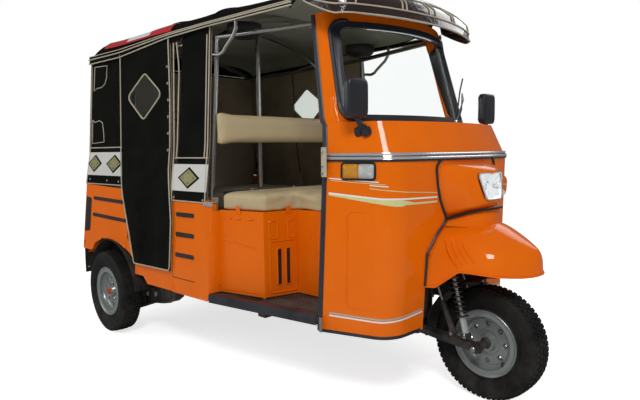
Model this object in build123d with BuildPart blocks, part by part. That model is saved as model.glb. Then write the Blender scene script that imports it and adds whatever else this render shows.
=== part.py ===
from build123d import *

"""An auto rickshaw: a three-wheeled taxi with a steel cab front, one steered front wheel and a canvas
canopy over the driver's seat and the rear bench.

Lengths are in millimetres. +X points forward, +Y to the vehicle's left and +Z up. The origin lies on the
ground, halfway along the vehicle and on its middle plane.
"""

import os
from math import cos, radians, sin, tan

os.makedirs("parts", exist_ok=True)

# ---- driving sizes
LENGTH = 2630
TYRE_RADIUS = 235
REAR_OVERHANG = 365
REAR_TRACK = 1385
TYRE_WIDTH = 116
RIM_RADIUS = 142
RIM_WIDTH = 84
FIT = 0.3  # gap between pieces that are fastened to each other
RUNNING = 0.6  # gap between a shaft and what turns on it

FRONT_AXLE_X = LENGTH / 2 - TYRE_RADIUS
REAR_AXLE_X = REAR_OVERHANG - LENGTH / 2
SIDES = {"right": -1, "left": 1}


def ahead(distance):
    """Place along the vehicle, measured forward from the front axle."""
    return FRONT_AXLE_X + distance


def past_rear(distance):
    """Place along the vehicle, measured forward from the rear axle."""
    return REAR_AXLE_X + distance


# ---- body side: half widths at the tail and at the door jamb
TAIL_LAMP_DEPTH = 15
TAIL_X = TAIL_LAMP_DEPTH - LENGTH / 2
JAMB_X = ahead(-1090)
#              height, half width at the tail, half width at the jamb
SIDE_LEVELS = [(300, 730, 662),
               (450, 725, 655),
               (850, 685, 618),
               (1070, 648, 588),
               (1640, 610, 545)]
PANEL_WALL = 24
CANVAS_WALL = 8
SILL_Z = 335
PANEL_TOP_TAIL = 850
PANEL_TOP_JAMB = 795
CANOPY_EAVE_Z = 1600

# ---- floor and seats
FLOOR_TOP = 366
FLOOR_THICK = 33
FLOOR_REAR_X = past_rear(400)
FLOOR_FRONT_X = ahead(-470)
SEAT_FRONT_X = ahead(-830)
SEAT_REAR_X = ahead(-1080)
SEAT_BOX_TOP = 765
CUSHION_THICK = 82


def side_half_width(x, z):
    """Half width of the body side's outer face at a place and a height."""
    share = (x - TAIL_X) / (JAMB_X - TAIL_X)
    for low, high in zip(SIDE_LEVELS, SIDE_LEVELS[1:]):
        if z <= high[0]:
            break
    rise = (z - low[0]) / (high[0] - low[0])
    tail = low[1] + rise * (high[1] - low[1])
    jamb = low[2] + rise * (high[2] - low[2])
    return tail + share * (jamb - tail)


def side_skin(side, proud, wall):
    """One whole body side from sill to eave, its outer face standing proud of the body line."""
    sections = []
    for station, column in ((TAIL_X, 1), (JAMB_X, 2)):
        outer = [(side * (level[column] + proud), level[0]) for level in SIDE_LEVELS]
        inner = [(side * (level[column] + proud - wall), level[0]) for level in reversed(SIDE_LEVELS)]
        with BuildSketch(Plane.YZ.offset(station)) as section:
            with BuildLine():
                Polyline(*outer, *inner, close=True)
            make_face()
        sections.append(section.sketch)
    with BuildPart() as skin:
        loft(sections=sections, ruled=True)
    return skin.part


def prism_along_y(points, half_depth=LENGTH / 2):
    """A solid with the given outline in side view, running across the whole vehicle."""
    with BuildPart() as prism:
        with BuildSketch(Plane.XZ):
            with BuildLine():
                Polyline(*points, close=True)
            make_face()
        extrude(amount=half_depth, both=True)
    return prism.part


def write(builder, name):
    """Label a finished piece and write it under its own name."""
    builder.part.label = name
    export_step(builder.part, f"parts/{name}.step")


# ---- cowl: the steel front shell
COWL_WALL = 20
COWL_FOOT_Z = 310
COWL_TOP_Z = 1150
#               height, door edge from the axle, half width there, corner, half width there, nose, radius
COWL_LEVELS = [(COWL_FOOT_Z, -460, 552, -165, 452, -160, 110),
               (1000, -450, 520, -158, 455, -100, 130),
               (COWL_TOP_Z, -480, 492, -232, 432, -148, 110)]
WELL_HALF_WIDTH = 250
WELL_TOP = 620
WELL_REAR_X = ahead(-430)
WELL_WALL = 6


def cowl_plan(level, grow=0, back=0):
    """Plan outline of the cowl at one height, grown outwards and stretched back past the doors."""
    height, door_x, door_half, corner_x, corner_half, nose_x, radius = level
    lean = (door_half - corner_half) / (corner_x - door_x)
    rear_x = ahead(door_x) - back
    rear_half = door_half + grow + lean * back
    with BuildSketch(Plane.XY.offset(height)) as plan:
        with BuildLine():
            Line((rear_x, rear_half), (rear_x, -rear_half))
            Line((rear_x, -rear_half), (ahead(corner_x) + grow, -corner_half - grow))
            ThreePointArc((ahead(corner_x) + grow, -corner_half - grow),
                          (ahead(nose_x) + grow, 0),
                          (ahead(corner_x) + grow, corner_half + grow))
            Line((ahead(corner_x) + grow, corner_half + grow), (rear_x, rear_half))
        make_face()
        fillet(plan.vertices().sort_by(Axis.X)[-2:], radius=radius + grow)
    return plan.sketch


def cowl_block(grow=0, back=0, levels=COWL_LEVELS):
    """The cowl's whole outer form as one solid."""
    with BuildPart() as block:
        loft(sections=[cowl_plan(level, grow, back) for level in levels], ruled=True)
    return block.part


# ---- windscreen: set back from the cowl's top edge and raked
SCREEN_WALL = 28
SCREEN_FOOT_Z = COWL_TOP_Z + FIT
SCREEN_TOP_Z = 1612
#                 height, door edge from the axle, half width there, corner, half width there, centre, radius
SCREEN_LEVELS = [(SCREEN_FOOT_Z, -500, 490, -425, 472, -280, 60),
                 (SCREEN_TOP_Z, -610, 425, -535, 412, -395, 60)]
SCREEN_OPENING_LOW = 1185
SCREEN_OPENING_HIGH = 1572
SCREEN_OPENING_HALF_LOW = 450
SCREEN_OPENING_HALF_HIGH = 408
SCREEN_OPENING_RADIUS = 60
SEAL_WIDTH = 26


def screen_shape(outer_grow, inner_grow, back):
    """A raked, bowed sheet between two offsets of the windscreen frame's outline."""
    with BuildPart() as sheet:
        loft(sections=[cowl_plan(level, outer_grow) for level in SCREEN_LEVELS], ruled=True)
        loft(sections=[cowl_plan(level, inner_grow, back) for level in SCREEN_LEVELS],
             ruled=True, mode=Mode.SUBTRACT)
    return sheet.part


def screen_window(inset):
    """The windscreen opening as a prism running forward, made smaller all round by an inset."""
    with BuildPart() as window:
        with BuildSketch(Plane.YZ.offset(ahead(-600))) as outline:
            with BuildLine():
                Polyline((-SCREEN_OPENING_HALF_LOW + inset, SCREEN_OPENING_LOW + inset),
                         (SCREEN_OPENING_HALF_LOW - inset, SCREEN_OPENING_LOW + inset),
                         (SCREEN_OPENING_HALF_HIGH - inset, SCREEN_OPENING_HIGH - inset),
                         (-SCREEN_OPENING_HALF_HIGH + inset, SCREEN_OPENING_HIGH - inset), close=True)
            make_face()
            fillet(outline.vertices(), radius=SCREEN_OPENING_RADIUS - inset)
        extrude(amount=500)
    return window.part


# ---- steering: the axis leans back as it rises
STEER_AXIS_FOOT_X = ahead(50)
STEER_RAKE = 20.9
COLUMN_RADIUS = 16
HEAD_TUBE_RADIUS = 28
CROWN_Z = 565
CROWN_THICK = 40
HEAD_TUBE_FOOT = 662
HEAD_TUBE_TOP = 930


def steer_x(z):
    """Place of the steering axis at a height."""
    return STEER_AXIS_FOOT_X - z * tan(radians(STEER_RAKE))


STEER_DIRECTION = Vector(-sin(radians(STEER_RAKE)), 0, cos(radians(STEER_RAKE)))


def steering_plane(z):
    """A plane across the steering axis at a height."""
    return Plane(origin=(steer_x(z), 0, z), x_dir=(0, 1, 0), z_dir=STEER_DIRECTION)


def steering_rod(radius, low, high):
    """A round bar along the steering axis between two heights."""
    with BuildPart() as rod:
        with BuildSketch(steering_plane(low)):
            Circle(radius)
        extrude(amount=(high - low) / cos(radians(STEER_RAKE)))
    return rod.part


def bar(start, end, radius):
    """A round bar from one point to another."""
    with BuildPart() as rod:
        with BuildSketch(Plane(origin=start, z_dir=Vector(*end) - Vector(*start))):
            Circle(radius)
        extrude(amount=(Vector(*end) - Vector(*start)).length)
    return rod.part


# ================================================================ chassis
RAIL_HALF_SPAN = 300
RAIL_WIDTH = 50
RAIL_HEIGHT = 60
RAIL_TOP = FLOOR_TOP - FLOOR_THICK - FIT
RAIL_REAR_X = TAIL_X + 60
RAIL_FRONT_X = FLOOR_FRONT_X - 20
NECK_HALF_WIDTH = 60
NECK_REAR_X = FLOOR_FRONT_X - 22
NECK_FRONT_X = WELL_REAR_X - 12
NECK_BEAM_HEIGHT = 34
NECK_OVER_WELL = 8
CROSS_MEMBERS = [RAIL_REAR_X + 40, past_rear(420), SEAT_REAR_X, SEAT_FRONT_X, RAIL_FRONT_X - 30]
OUTRIGGER_HALF_SPAN = 600
TOW_LUG_REACH = 48
TOW_LUG_WIDTH = 70
TOW_LUG_THICK = 16
TOW_EYE_RADIUS = 11

with BuildPart() as chassis_frame:
    rail_z = RAIL_TOP - RAIL_HEIGHT / 2
    for rail_y in (-RAIL_HALF_SPAN, RAIL_HALF_SPAN):
        with Locations(((RAIL_REAR_X + RAIL_FRONT_X) / 2, rail_y, rail_z)):
            Box(RAIL_FRONT_X - RAIL_REAR_X, RAIL_WIDTH, RAIL_HEIGHT)
    for member_x in CROSS_MEMBERS:
        with Locations((member_x, 0, rail_z)):
            Box(RAIL_WIDTH, 2 * RAIL_HALF_SPAN, RAIL_HEIGHT)
    # outriggers carry the floor's edges beside the doors
    for member_x in (SEAT_REAR_X, SEAT_FRONT_X):
        with Locations((member_x, 0, rail_z)):
            Box(RAIL_WIDTH, 2 * (OUTRIGGER_HALF_SPAN - RAIL_WIDTH), RAIL_HEIGHT / 2)
    # a plate on the front member takes the foot of the steering neck
    with Locations((NECK_REAR_X - FIT, 0, rail_z)):
        Box(RAIL_WIDTH, 2 * NECK_HALF_WIDTH, RAIL_HEIGHT, align=(Align.MAX, Align.CENTER, Align.CENTER))
    # a flat tow lug lies behind the last cross member, its eye upright
    with Locations((RAIL_REAR_X + RAIL_WIDTH / 2, 0, rail_z)):
        Box(TOW_LUG_REACH + RAIL_WIDTH / 2, TOW_LUG_WIDTH, TOW_LUG_THICK,
            align=(Align.MAX, Align.CENTER, Align.CENTER))
    with Locations((RAIL_REAR_X - TOW_LUG_REACH + 2 * TOW_EYE_RADIUS, 0, rail_z)):
        Cylinder(TOW_EYE_RADIUS, 2 * TOW_LUG_THICK, mode=Mode.SUBTRACT)
write(chassis_frame, "chassis_frame")

# ================================================================ steering neck
NECK_BEAM_FOOT = WELL_TOP + WELL_WALL + NECK_OVER_WELL
with BuildPart() as steering_neck:
    # it climbs behind the wheel well and reaches over it to the head tube
    with BuildSketch(Plane.XZ):
        with BuildLine():
            Polyline((NECK_REAR_X, RAIL_TOP - RAIL_HEIGHT),
                     (NECK_FRONT_X, RAIL_TOP - RAIL_HEIGHT),
                     (NECK_FRONT_X, NECK_BEAM_FOOT),
                     (steer_x(NECK_BEAM_FOOT) + HEAD_TUBE_RADIUS / 2, NECK_BEAM_FOOT),
                     (steer_x(NECK_BEAM_FOOT + NECK_BEAM_HEIGHT) + HEAD_TUBE_RADIUS / 2,
                      NECK_BEAM_FOOT + NECK_BEAM_HEIGHT),
                     (NECK_REAR_X, NECK_BEAM_FOOT + NECK_BEAM_HEIGHT), close=True)
        make_face()
    extrude(amount=NECK_HALF_WIDTH, both=True)
    add(steering_rod(HEAD_TUBE_RADIUS, HEAD_TUBE_FOOT - NECK_BEAM_HEIGHT / 2, HEAD_TUBE_TOP))
    add(steering_rod(COLUMN_RADIUS + RUNNING, WELL_TOP - NECK_BEAM_HEIGHT, HEAD_TUBE_TOP + NECK_BEAM_HEIGHT),
        mode=Mode.SUBTRACT)
write(steering_neck, "steering_neck")

# ================================================================ floor
NECK_CLEAR = 1.0
with BuildPart() as floor_pan:
    with BuildSketch(Plane.XY.offset(FLOOR_TOP - FLOOR_THICK)):
        with BuildLine():
            floor_rear_half = side_half_width(FLOOR_REAR_X, FLOOR_TOP) - PANEL_WALL - FIT
            floor_jamb_half = side_half_width(JAMB_X, FLOOR_TOP) - PANEL_WALL - FIT
            Polyline((FLOOR_REAR_X, -floor_rear_half),
                     (JAMB_X, -floor_jamb_half),
                     (JAMB_X + FIT, -side_half_width(JAMB_X, SILL_Z)),
                     (ahead(COWL_LEVELS[0][1]) - FIT, -COWL_LEVELS[0][2]),
                     (ahead(COWL_LEVELS[0][1]) - FIT, COWL_LEVELS[0][2]),
                     (JAMB_X + FIT, side_half_width(JAMB_X, SILL_Z)),
                     (JAMB_X, floor_jamb_half),
                     (FLOOR_REAR_X, floor_rear_half), close=True)
        make_face()
    extrude(amount=FLOOR_THICK)
    with Locations((NECK_REAR_X - NECK_CLEAR, 0, FLOOR_TOP)):
        Box(200, 2 * (NECK_HALF_WIDTH + NECK_CLEAR), 4 * FLOOR_THICK,
            align=(Align.MIN, Align.CENTER, Align.CENTER), mode=Mode.SUBTRACT)
write(floor_pan, "floor_pan")

# ================================================================ cowl and wheel well
with BuildPart() as cowl_shell:
    add(cowl_block())
    inner_levels = [level for level in COWL_LEVELS[:-1]]
    top = COWL_LEVELS[-1]
    share = COWL_WALL / (top[0] - inner_levels[-1][0])
    inner_top = tuple(high + share * (low - high) for high, low in zip(top, inner_levels[-1]))
    add(cowl_block(-COWL_WALL, 60, inner_levels + [inner_top]), mode=Mode.SUBTRACT)
    # the plate over the cowl is open inside the windscreen, above the handlebar
    with BuildSketch(Plane.XY.offset(COWL_TOP_Z - 2 * COWL_WALL)):
        add(cowl_plan((COWL_TOP_Z - 2 * COWL_WALL,) + SCREEN_LEVELS[0][1:], -SCREEN_WALL - 12, 60))
    extrude(amount=3 * COWL_WALL, mode=Mode.SUBTRACT)
    with Locations((WELL_REAR_X, 0, 0)):
        Box(LENGTH, 2 * WELL_HALF_WIDTH, 2 * WELL_TOP,
            align=(Align.MIN, Align.CENTER, Align.CENTER), mode=Mode.SUBTRACT)
write(cowl_shell, "cowl_shell")

with BuildPart() as wheel_well:
    well_front_x = ahead(COWL_LEVELS[0][5]) + 20
    with Locations((WELL_REAR_X - WELL_WALL, 0, COWL_FOOT_Z)):
        Box(well_front_x - WELL_REAR_X + WELL_WALL, 2 * (WELL_HALF_WIDTH - FIT),
            WELL_TOP + WELL_WALL - COWL_FOOT_Z,
            align=(Align.MIN, Align.CENTER, Align.MIN))
    with Locations((WELL_REAR_X, 0, COWL_FOOT_Z)):
        Box(LENGTH, 2 * (WELL_HALF_WIDTH - FIT - WELL_WALL), WELL_TOP - COWL_FOOT_Z,
            align=(Align.MIN, Align.CENTER, Align.MIN), mode=Mode.SUBTRACT)
    add(steering_rod(HEAD_TUBE_RADIUS + 6, WELL_TOP - 60, WELL_TOP + 60), mode=Mode.SUBTRACT)
    # only the part behind the cowl's skin stays
    add(cowl_block(-COWL_WALL - FIT, 60), mode=Mode.INTERSECT)
write(wheel_well, "wheel_well")

# ================================================================ dashboard
DASH_REAR_X = ahead(-262)
DASH_DEPTH = 60
DASH_HALF_WIDTH = 300
DASH_FOOT_Z = 1000
with BuildPart() as dashboard:
    with Locations((DASH_REAR_X, 0, DASH_FOOT_Z)):
        Box(DASH_DEPTH, 2 * DASH_HALF_WIDTH, COWL_TOP_Z - COWL_WALL - FIT - DASH_FOOT_Z,
            align=(Align.MIN, Align.CENTER, Align.MIN))
    fillet(dashboard.edges().filter_by(Axis.Z), radius=20)
write(dashboard, "dashboard")

# ================================================================ headlamp pod on the cowl's face
#              place from the axle, half width low, half width high, foot height, top height, radius
POD_LEVELS = [(-260, 150, 232, 752, 988, 24),
              (-60, 118, 150, 780, 975, 24),
              (28, 96, 118, 806, 960, 24)]
LAMP_HALF_WIDTH = 84
LAMP_FOOT_Z = 832
LAMP_TOP_Z = 940
LAMP_DEPTH = 26
LAMP_PROUD = 12


def trapezoid_across(station, half_low, half_high, foot, top, radius, inset=0):
    """A rounded four-sided outline across the vehicle, made smaller all round by an inset."""
    with BuildSketch(Plane.YZ.offset(station)) as outline:
        with BuildLine():
            Polyline((-half_low + inset, foot + inset), (half_low - inset, foot + inset),
                     (half_high - inset, top - inset), (-half_high + inset, top - inset), close=True)
        make_face()
        fillet(outline.vertices(), radius=radius - inset / 2)
    return outline.sketch


with BuildPart() as headlamp_nacelle:
    loft(sections=[trapezoid_across(ahead(level[0]), *level[1:]) for level in POD_LEVELS], ruled=True)
    add(cowl_block(FIT, 60), mode=Mode.SUBTRACT)
    with Locations((ahead(POD_LEVELS[-1][0]) - LAMP_DEPTH, 0, (LAMP_FOOT_Z + LAMP_TOP_Z) / 2)):
        Box(4 * LAMP_DEPTH, 2 * (LAMP_HALF_WIDTH + FIT), LAMP_TOP_Z - LAMP_FOOT_Z + 2 * FIT,
            align=(Align.MIN, Align.CENTER, Align.CENTER), mode=Mode.SUBTRACT)
write(headlamp_nacelle, "headlamp_nacelle")

with BuildPart() as headlamp:
    with Locations((ahead(POD_LEVELS[-1][0]) - LAMP_DEPTH + FIT, 0, (LAMP_FOOT_Z + LAMP_TOP_Z) / 2)):
        Box(LAMP_DEPTH + LAMP_PROUD, 2 * LAMP_HALF_WIDTH, LAMP_TOP_Z - LAMP_FOOT_Z,
            align=(Align.MIN, Align.CENTER, Align.CENTER))
    fillet(headlamp.edges().filter_by(Axis.X), radius=18)
write(headlamp, "headlamp")

# ================================================================ front fender, a hood over the wheel
#                 place from the axle, half width low, half width high, foot height, top height, radius
FENDER_LEVELS = [(-260, 224, 128, 490, 762, 40),
                 (-100, 216, 122, 496, 752, 40),
                 (30, 202, 100, 545, 720, 40),
                 (130, 165, 76, 552, 668, 36),
                 (213, 92, 46, 552, 612, 18)]
FENDER_WALL = 8
with BuildPart() as front_fender:
    loft(sections=[trapezoid_across(ahead(level[0]), *level[1:]) for level in FENDER_LEVELS], ruled=True)
    inner = []
    for place, half_low, half_high, foot, top_z, radius in FENDER_LEVELS[:-1]:
        inner.append(trapezoid_across(ahead(place) - FIT, half_low, half_high, foot - 3 * FENDER_WALL,
                                      top_z, radius, FENDER_WALL))
    place, half_low, half_high, foot, top_z, radius = FENDER_LEVELS[-1]
    inner.append(trapezoid_across(ahead(place) - FENDER_WALL, half_low, half_high, foot - 3 * FENDER_WALL,
                                  top_z, radius, FENDER_WALL))
    loft(sections=inner, ruled=True, mode=Mode.SUBTRACT)
    add(cowl_block(FIT, 60), mode=Mode.SUBTRACT)
write(front_fender, "front_fender")

# ================================================================ belt moulding round the cowl
BELT_FOOT_Z = 1003
BELT_TOP_Z = 1028
BELT_PROUD = 7
with BuildPart() as belt_moulding:
    add(cowl_block(FIT + BELT_PROUD))
    add(cowl_block(FIT, 60), mode=Mode.SUBTRACT)
    with Locations((0, 0, BELT_FOOT_Z)):
        Box(2 * LENGTH, LENGTH, BELT_TOP_Z - BELT_FOOT_Z,
            align=(Align.CENTER, Align.CENTER, Align.MIN), mode=Mode.INTERSECT)
write(belt_moulding, "belt_moulding")

# ================================================================ turn indicators, one on each side
INDICATOR_FOOT_Z = 925
INDICATOR_TOP_Z = 985
INDICATOR_REAR_X = ahead(-398)
INDICATOR_FRONT_X = ahead(-240)
INDICATOR_PROUD = 22
with BuildPart() as indicators:
    add(cowl_block(FIT + INDICATOR_PROUD))
    add(cowl_block(FIT, 60), mode=Mode.SUBTRACT)
    with Locations((INDICATOR_REAR_X, 0, INDICATOR_FOOT_Z)):
        Box(INDICATOR_FRONT_X - INDICATOR_REAR_X, LENGTH, INDICATOR_TOP_Z - INDICATOR_FOOT_Z,
            align=(Align.MIN, Align.CENTER, Align.MIN), mode=Mode.INTERSECT)
write(indicators, "indicators")

# ================================================================ windscreen
with BuildPart() as windscreen_frame:
    add(screen_shape(0, -SCREEN_WALL, 60))
    add(screen_window(0), mode=Mode.SUBTRACT)
write(windscreen_frame, "windscreen_frame")

with BuildPart() as windscreen_seal:
    add(screen_shape(4, -SCREEN_WALL + 4, 60))
    add(screen_window(FIT), mode=Mode.INTERSECT)
    add(screen_window(SEAL_WIDTH), mode=Mode.SUBTRACT)
write(windscreen_seal, "windscreen_seal")

GLASS_THICK = 6
with BuildPart() as windscreen_glass:
    add(screen_shape(-8, -8 - GLASS_THICK, 60))
    add(screen_window(SEAL_WIDTH + FIT), mode=Mode.INTERSECT)
write(windscreen_glass, "windscreen_glass")

# ================================================================ roof, visor and canvas
ROOF_FRONT = -640  # measured from the front axle
#              place, half width, eave height, shoulder height, crown height
ROOF_LEVELS = [(TAIL_X - 4, 622, CANOPY_EAVE_Z, 1650, 1705),
               (past_rear(-180), 616, CANOPY_EAVE_Z, 1690, 1752),
               (ahead(-1155), 562, CANOPY_EAVE_Z, 1690, 1760),
               (ahead(ROOF_FRONT), 505, CANOPY_EAVE_Z + 12, 1680, 1745)]
ROOF_WALL = 12
ROOF_CORNER = 40


def roof_outline(level, inset=0):
    """The canopy's outline across the vehicle, made smaller all round by an inset."""
    place, half, eave, shoulder, crown = level
    with BuildSketch(Plane.YZ.offset(place)) as outline:
        with BuildLine():
            Polyline((half - inset, shoulder - inset), (half - inset, eave - inset),
                     (-half + inset, eave - inset), (-half + inset, shoulder - inset))
            ThreePointArc((-half + inset, shoulder - inset), (0, crown - inset),
                          (half - inset, shoulder - inset))
        make_face()
        fillet(outline.vertices().sort_by(Axis.Y)[-2:], radius=ROOF_CORNER - inset)
    return outline.sketch


# the hollow starts one wall in from the tail and runs out through the front
ROOF_HOLLOW_LEVELS = [(ROOF_LEVELS[0][0] + ROOF_WALL,) + ROOF_LEVELS[0][1:], *ROOF_LEVELS[1:-1],
                      (ROOF_LEVELS[-1][0] + FIT,) + ROOF_LEVELS[-1][1:]]
with BuildPart() as canopy_roof:
    loft(sections=[roof_outline(level) for level in ROOF_LEVELS], ruled=True)
    loft(sections=[roof_outline(level, ROOF_WALL) for level in ROOF_HOLLOW_LEVELS],
         ruled=True, mode=Mode.SUBTRACT)
write(canopy_roof, "canopy_roof")

#               height, door edge from the axle, half width there, corner, half width there, nose, radius
VISOR_LEVELS = [(1570, ROOF_FRONT + FIT, 512, -388, 478, -282, 90),
                (1640, ROOF_FRONT + FIT, 514, -398, 478, -296, 90),
                (1700, ROOF_FRONT + FIT, 500, -450, 450, -370, 90)]
VISOR_WALL = 10
with BuildPart() as front_visor:
    loft(sections=[cowl_plan(level) for level in VISOR_LEVELS], ruled=True)
    lower = [(VISOR_LEVELS[0][0] - FIT,) + VISOR_LEVELS[0][1:], VISOR_LEVELS[1],
             (VISOR_LEVELS[2][0] - VISOR_WALL,) + VISOR_LEVELS[2][1:]]
    loft(sections=[cowl_plan(level, -VISOR_WALL, 60) for level in lower], ruled=True, mode=Mode.SUBTRACT)
write(front_visor, "front_visor")

FRONT_QUARTER_END_X = ahead(-1170)
DOORWAY_REAR_X = past_rear(170)
DOORWAY_FRONT_X = ahead(-1400)
DOORWAY_FOOT_Z = 400
FLAP_FOOT_Z = 450

# side view outlines, as (place, height)
ARCH = [(past_rear(-236), 450), (past_rear(-200), 500), (past_rear(-110), 536), (past_rear(0), 540),
        (past_rear(110), 520), (past_rear(210), 480), (past_rear(300), 420), (past_rear(400), SILL_Z)]
PANEL_OUTLINE = [(TAIL_X, 450), *ARCH, (JAMB_X, SILL_Z), (JAMB_X, PANEL_TOP_JAMB),
                 (FRONT_QUARTER_END_X, PANEL_TOP_JAMB + 18),
                 (DOORWAY_FRONT_X, PANEL_TOP_JAMB + 18), (DOORWAY_FRONT_X, DOORWAY_FOOT_Z),
                 (past_rear(390), DOORWAY_FOOT_Z), (past_rear(310), 480), (DOORWAY_REAR_X, 560),
                 (DOORWAY_REAR_X, PANEL_TOP_TAIL - 20), (TAIL_X, PANEL_TOP_TAIL)]
CURTAIN_TOP = CANOPY_EAVE_Z - FIT
REAR_QUARTER_OUTLINE = [(TAIL_X, PANEL_TOP_TAIL + FIT), (DOORWAY_REAR_X, PANEL_TOP_TAIL - 20 + FIT),
                        (DOORWAY_REAR_X, CURTAIN_TOP), (TAIL_X, CURTAIN_TOP)]
FRONT_QUARTER_OUTLINE = [(DOORWAY_FRONT_X, PANEL_TOP_JAMB + 18 + FIT),
                         (FRONT_QUARTER_END_X, PANEL_TOP_JAMB + 18 + FIT),
                         (FRONT_QUARTER_END_X, CURTAIN_TOP), (DOORWAY_FRONT_X, CURTAIN_TOP)]
FLAP_OUTLINE = [(past_rear(-40), CURTAIN_TOP), (past_rear(20), 1200), (past_rear(150), 700),
                (past_rear(330), FLAP_FOOT_Z), (ahead(-1340), FLAP_FOOT_Z), (ahead(-1400), 800),
                (ahead(-1510), CURTAIN_TOP)]
FLAP_WINDOW = [(past_rear(262), 1473), (past_rear(76), 1360), (past_rear(300), 1216), (past_rear(480), 1338)]
for side_name, side in SIDES.items():
    with BuildPart() as side_panel:
        add(side_skin(side, 0, PANEL_WALL))
        add(prism_along_y(PANEL_OUTLINE), mode=Mode.INTERSECT)
    write(side_panel, f"side_panel_{side_name}")

    with BuildPart() as rear_quarter:
        add(side_skin(side, 0, CANVAS_WALL))
        add(prism_along_y(REAR_QUARTER_OUTLINE), mode=Mode.INTERSECT)
    write(rear_quarter, f"rear_quarter_{side_name}")

    with BuildPart() as front_quarter:
        add(side_skin(side, 0, CANVAS_WALL))
        add(prism_along_y(FRONT_QUARTER_OUTLINE), mode=Mode.INTERSECT)
    write(front_quarter, f"front_quarter_{side_name}")

    with BuildPart() as door_flap:
        add(side_skin(side, FIT + CANVAS_WALL, CANVAS_WALL))
        add(prism_along_y(FLAP_OUTLINE), mode=Mode.INTERSECT)
        add(prism_along_y(FLAP_WINDOW), mode=Mode.SUBTRACT)
    write(door_flap, f"door_flap_{side_name}")

WINDOW_SHEET = 3
with BuildPart() as flap_windows:
    for side in SIDES.values():
        # the clear sheet is sewn behind the flap's cut edge
        add(side_skin(side, CANVAS_WALL - 2, WINDOW_SHEET))
    with BuildSketch(Plane.XZ):
        with BuildLine():
            Polyline(*FLAP_WINDOW, close=True)
        make_face()
        offset(amount=-FIT)
    extrude(amount=LENGTH / 2, both=True, mode=Mode.INTERSECT)
write(flap_windows, "flap_windows")


# ================================================================ canopy frame: poles, hoops and eave rails
TUBE_RADIUS = 12
HOOP_HALF_DEPTH = 10
WELD_RADIUS = 14
POLE_X = ahead(-1156)
POLE_KNEE_Z = 795
POLE_KNEE_HALF = 583
POLE_TOP_HALF = 524
CENTRE_POLE_HALF = 280
SILL_TUBE_Z = CANOPY_EAVE_Z - 16
HOOPS = [(TAIL_X + 60, 576), (past_rear(480), 545), (POLE_X, POLE_TOP_HALF)]  # place, half span at the eaves
FRONT_RAIL_END = (ahead(-590), 372)


def hoop_rise(x):
    """Rise of a hoop's middle line over the eaves where it just meets the canopy's crown."""
    for rear, front in zip(ROOF_HOLLOW_LEVELS, ROOF_HOLLOW_LEVELS[1:]):
        if x <= front[0]:
            break
    crown = rear[4] + (x - rear[0]) / (front[0] - rear[0]) * (front[4] - rear[4]) - ROOF_WALL
    return crown - FIT - TUBE_RADIUS - SILL_TUBE_Z


with BuildPart() as canopy_frame:
    for hoop_x, half_span in HOOPS:
        rise = min(hoop_rise(hoop_x - HOOP_HALF_DEPTH), hoop_rise(hoop_x + HOOP_HALF_DEPTH))
        bow = (half_span ** 2 + rise ** 2) / (2 * rise)
        with BuildSketch(Plane.YZ.offset(hoop_x)):
            with Locations((0, SILL_TUBE_Z + rise - bow)):
                Circle(bow + TUBE_RADIUS)
                Circle(bow - TUBE_RADIUS, mode=Mode.SUBTRACT)
            with Locations((0, SILL_TUBE_Z)):
                Rectangle(2 * half_span, 4 * rise, align=(Align.CENTER, Align.MIN), mode=Mode.INTERSECT)
        extrude(amount=HOOP_HALF_DEPTH, both=True)
    for side in SIDES.values():
        # eave rails run from the tail hoop past the poles to the windscreen frame
        rail_places = HOOPS + [FRONT_RAIL_END]
        for (rear_x, rear_half), (front_x, front_half) in zip(rail_places, rail_places[1:]):
            add(bar((rear_x, side * rear_half, SILL_TUBE_Z), (front_x, side * front_half, SILL_TUBE_Z),
                    TUBE_RADIUS))
            with Locations((rear_x, side * rear_half, SILL_TUBE_Z)):
                Sphere(WELD_RADIUS)
        # the door poles stand on the floor and lean in above the side panels
        add(bar((POLE_X, side * POLE_KNEE_HALF, FLOOR_TOP + FIT),
                (POLE_X, side * POLE_KNEE_HALF, POLE_KNEE_Z),
                TUBE_RADIUS))
        with Locations((POLE_X, side * POLE_KNEE_HALF, POLE_KNEE_Z)):
            Sphere(WELD_RADIUS)
        add(bar((POLE_X, side * POLE_KNEE_HALF, POLE_KNEE_Z), (POLE_X, side * POLE_TOP_HALF, SILL_TUBE_Z),
                TUBE_RADIUS))
        # the centre poles reach up into the last hoop; rise and bow are still that hoop's
        hoop_drop = bow - (bow ** 2 - CENTRE_POLE_HALF ** 2) ** 0.5
        add(bar((POLE_X, side * CENTRE_POLE_HALF, FLOOR_TOP + FIT),
                (POLE_X, side * CENTRE_POLE_HALF, SILL_TUBE_Z + rise - hoop_drop), TUBE_RADIUS))
write(canopy_frame, "canopy_frame")

# ================================================================ tail: curtain, panel, lid and lamps
REAR_WINDOW_HALF = 360
REAR_WINDOW_LOW = 1130
REAR_WINDOW_HIGH = 1440
TAIL_PANEL_WALL = 20
TAIL_PANEL_HEIGHT = 430
TAIL_PANEL_FOOT = PANEL_TOP_TAIL - TAIL_PANEL_HEIGHT
LID_HALF_WIDTH = 330
LID_MARGIN = 55
LID_FOOT_Z = TAIL_PANEL_FOOT + LID_MARGIN
LID_TOP_Z = PANEL_TOP_TAIL - LID_MARGIN
LID_LAP = 18
LID_WALL = 10
HINGE_RADIUS = 5
HINGE_GAP = 2


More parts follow.
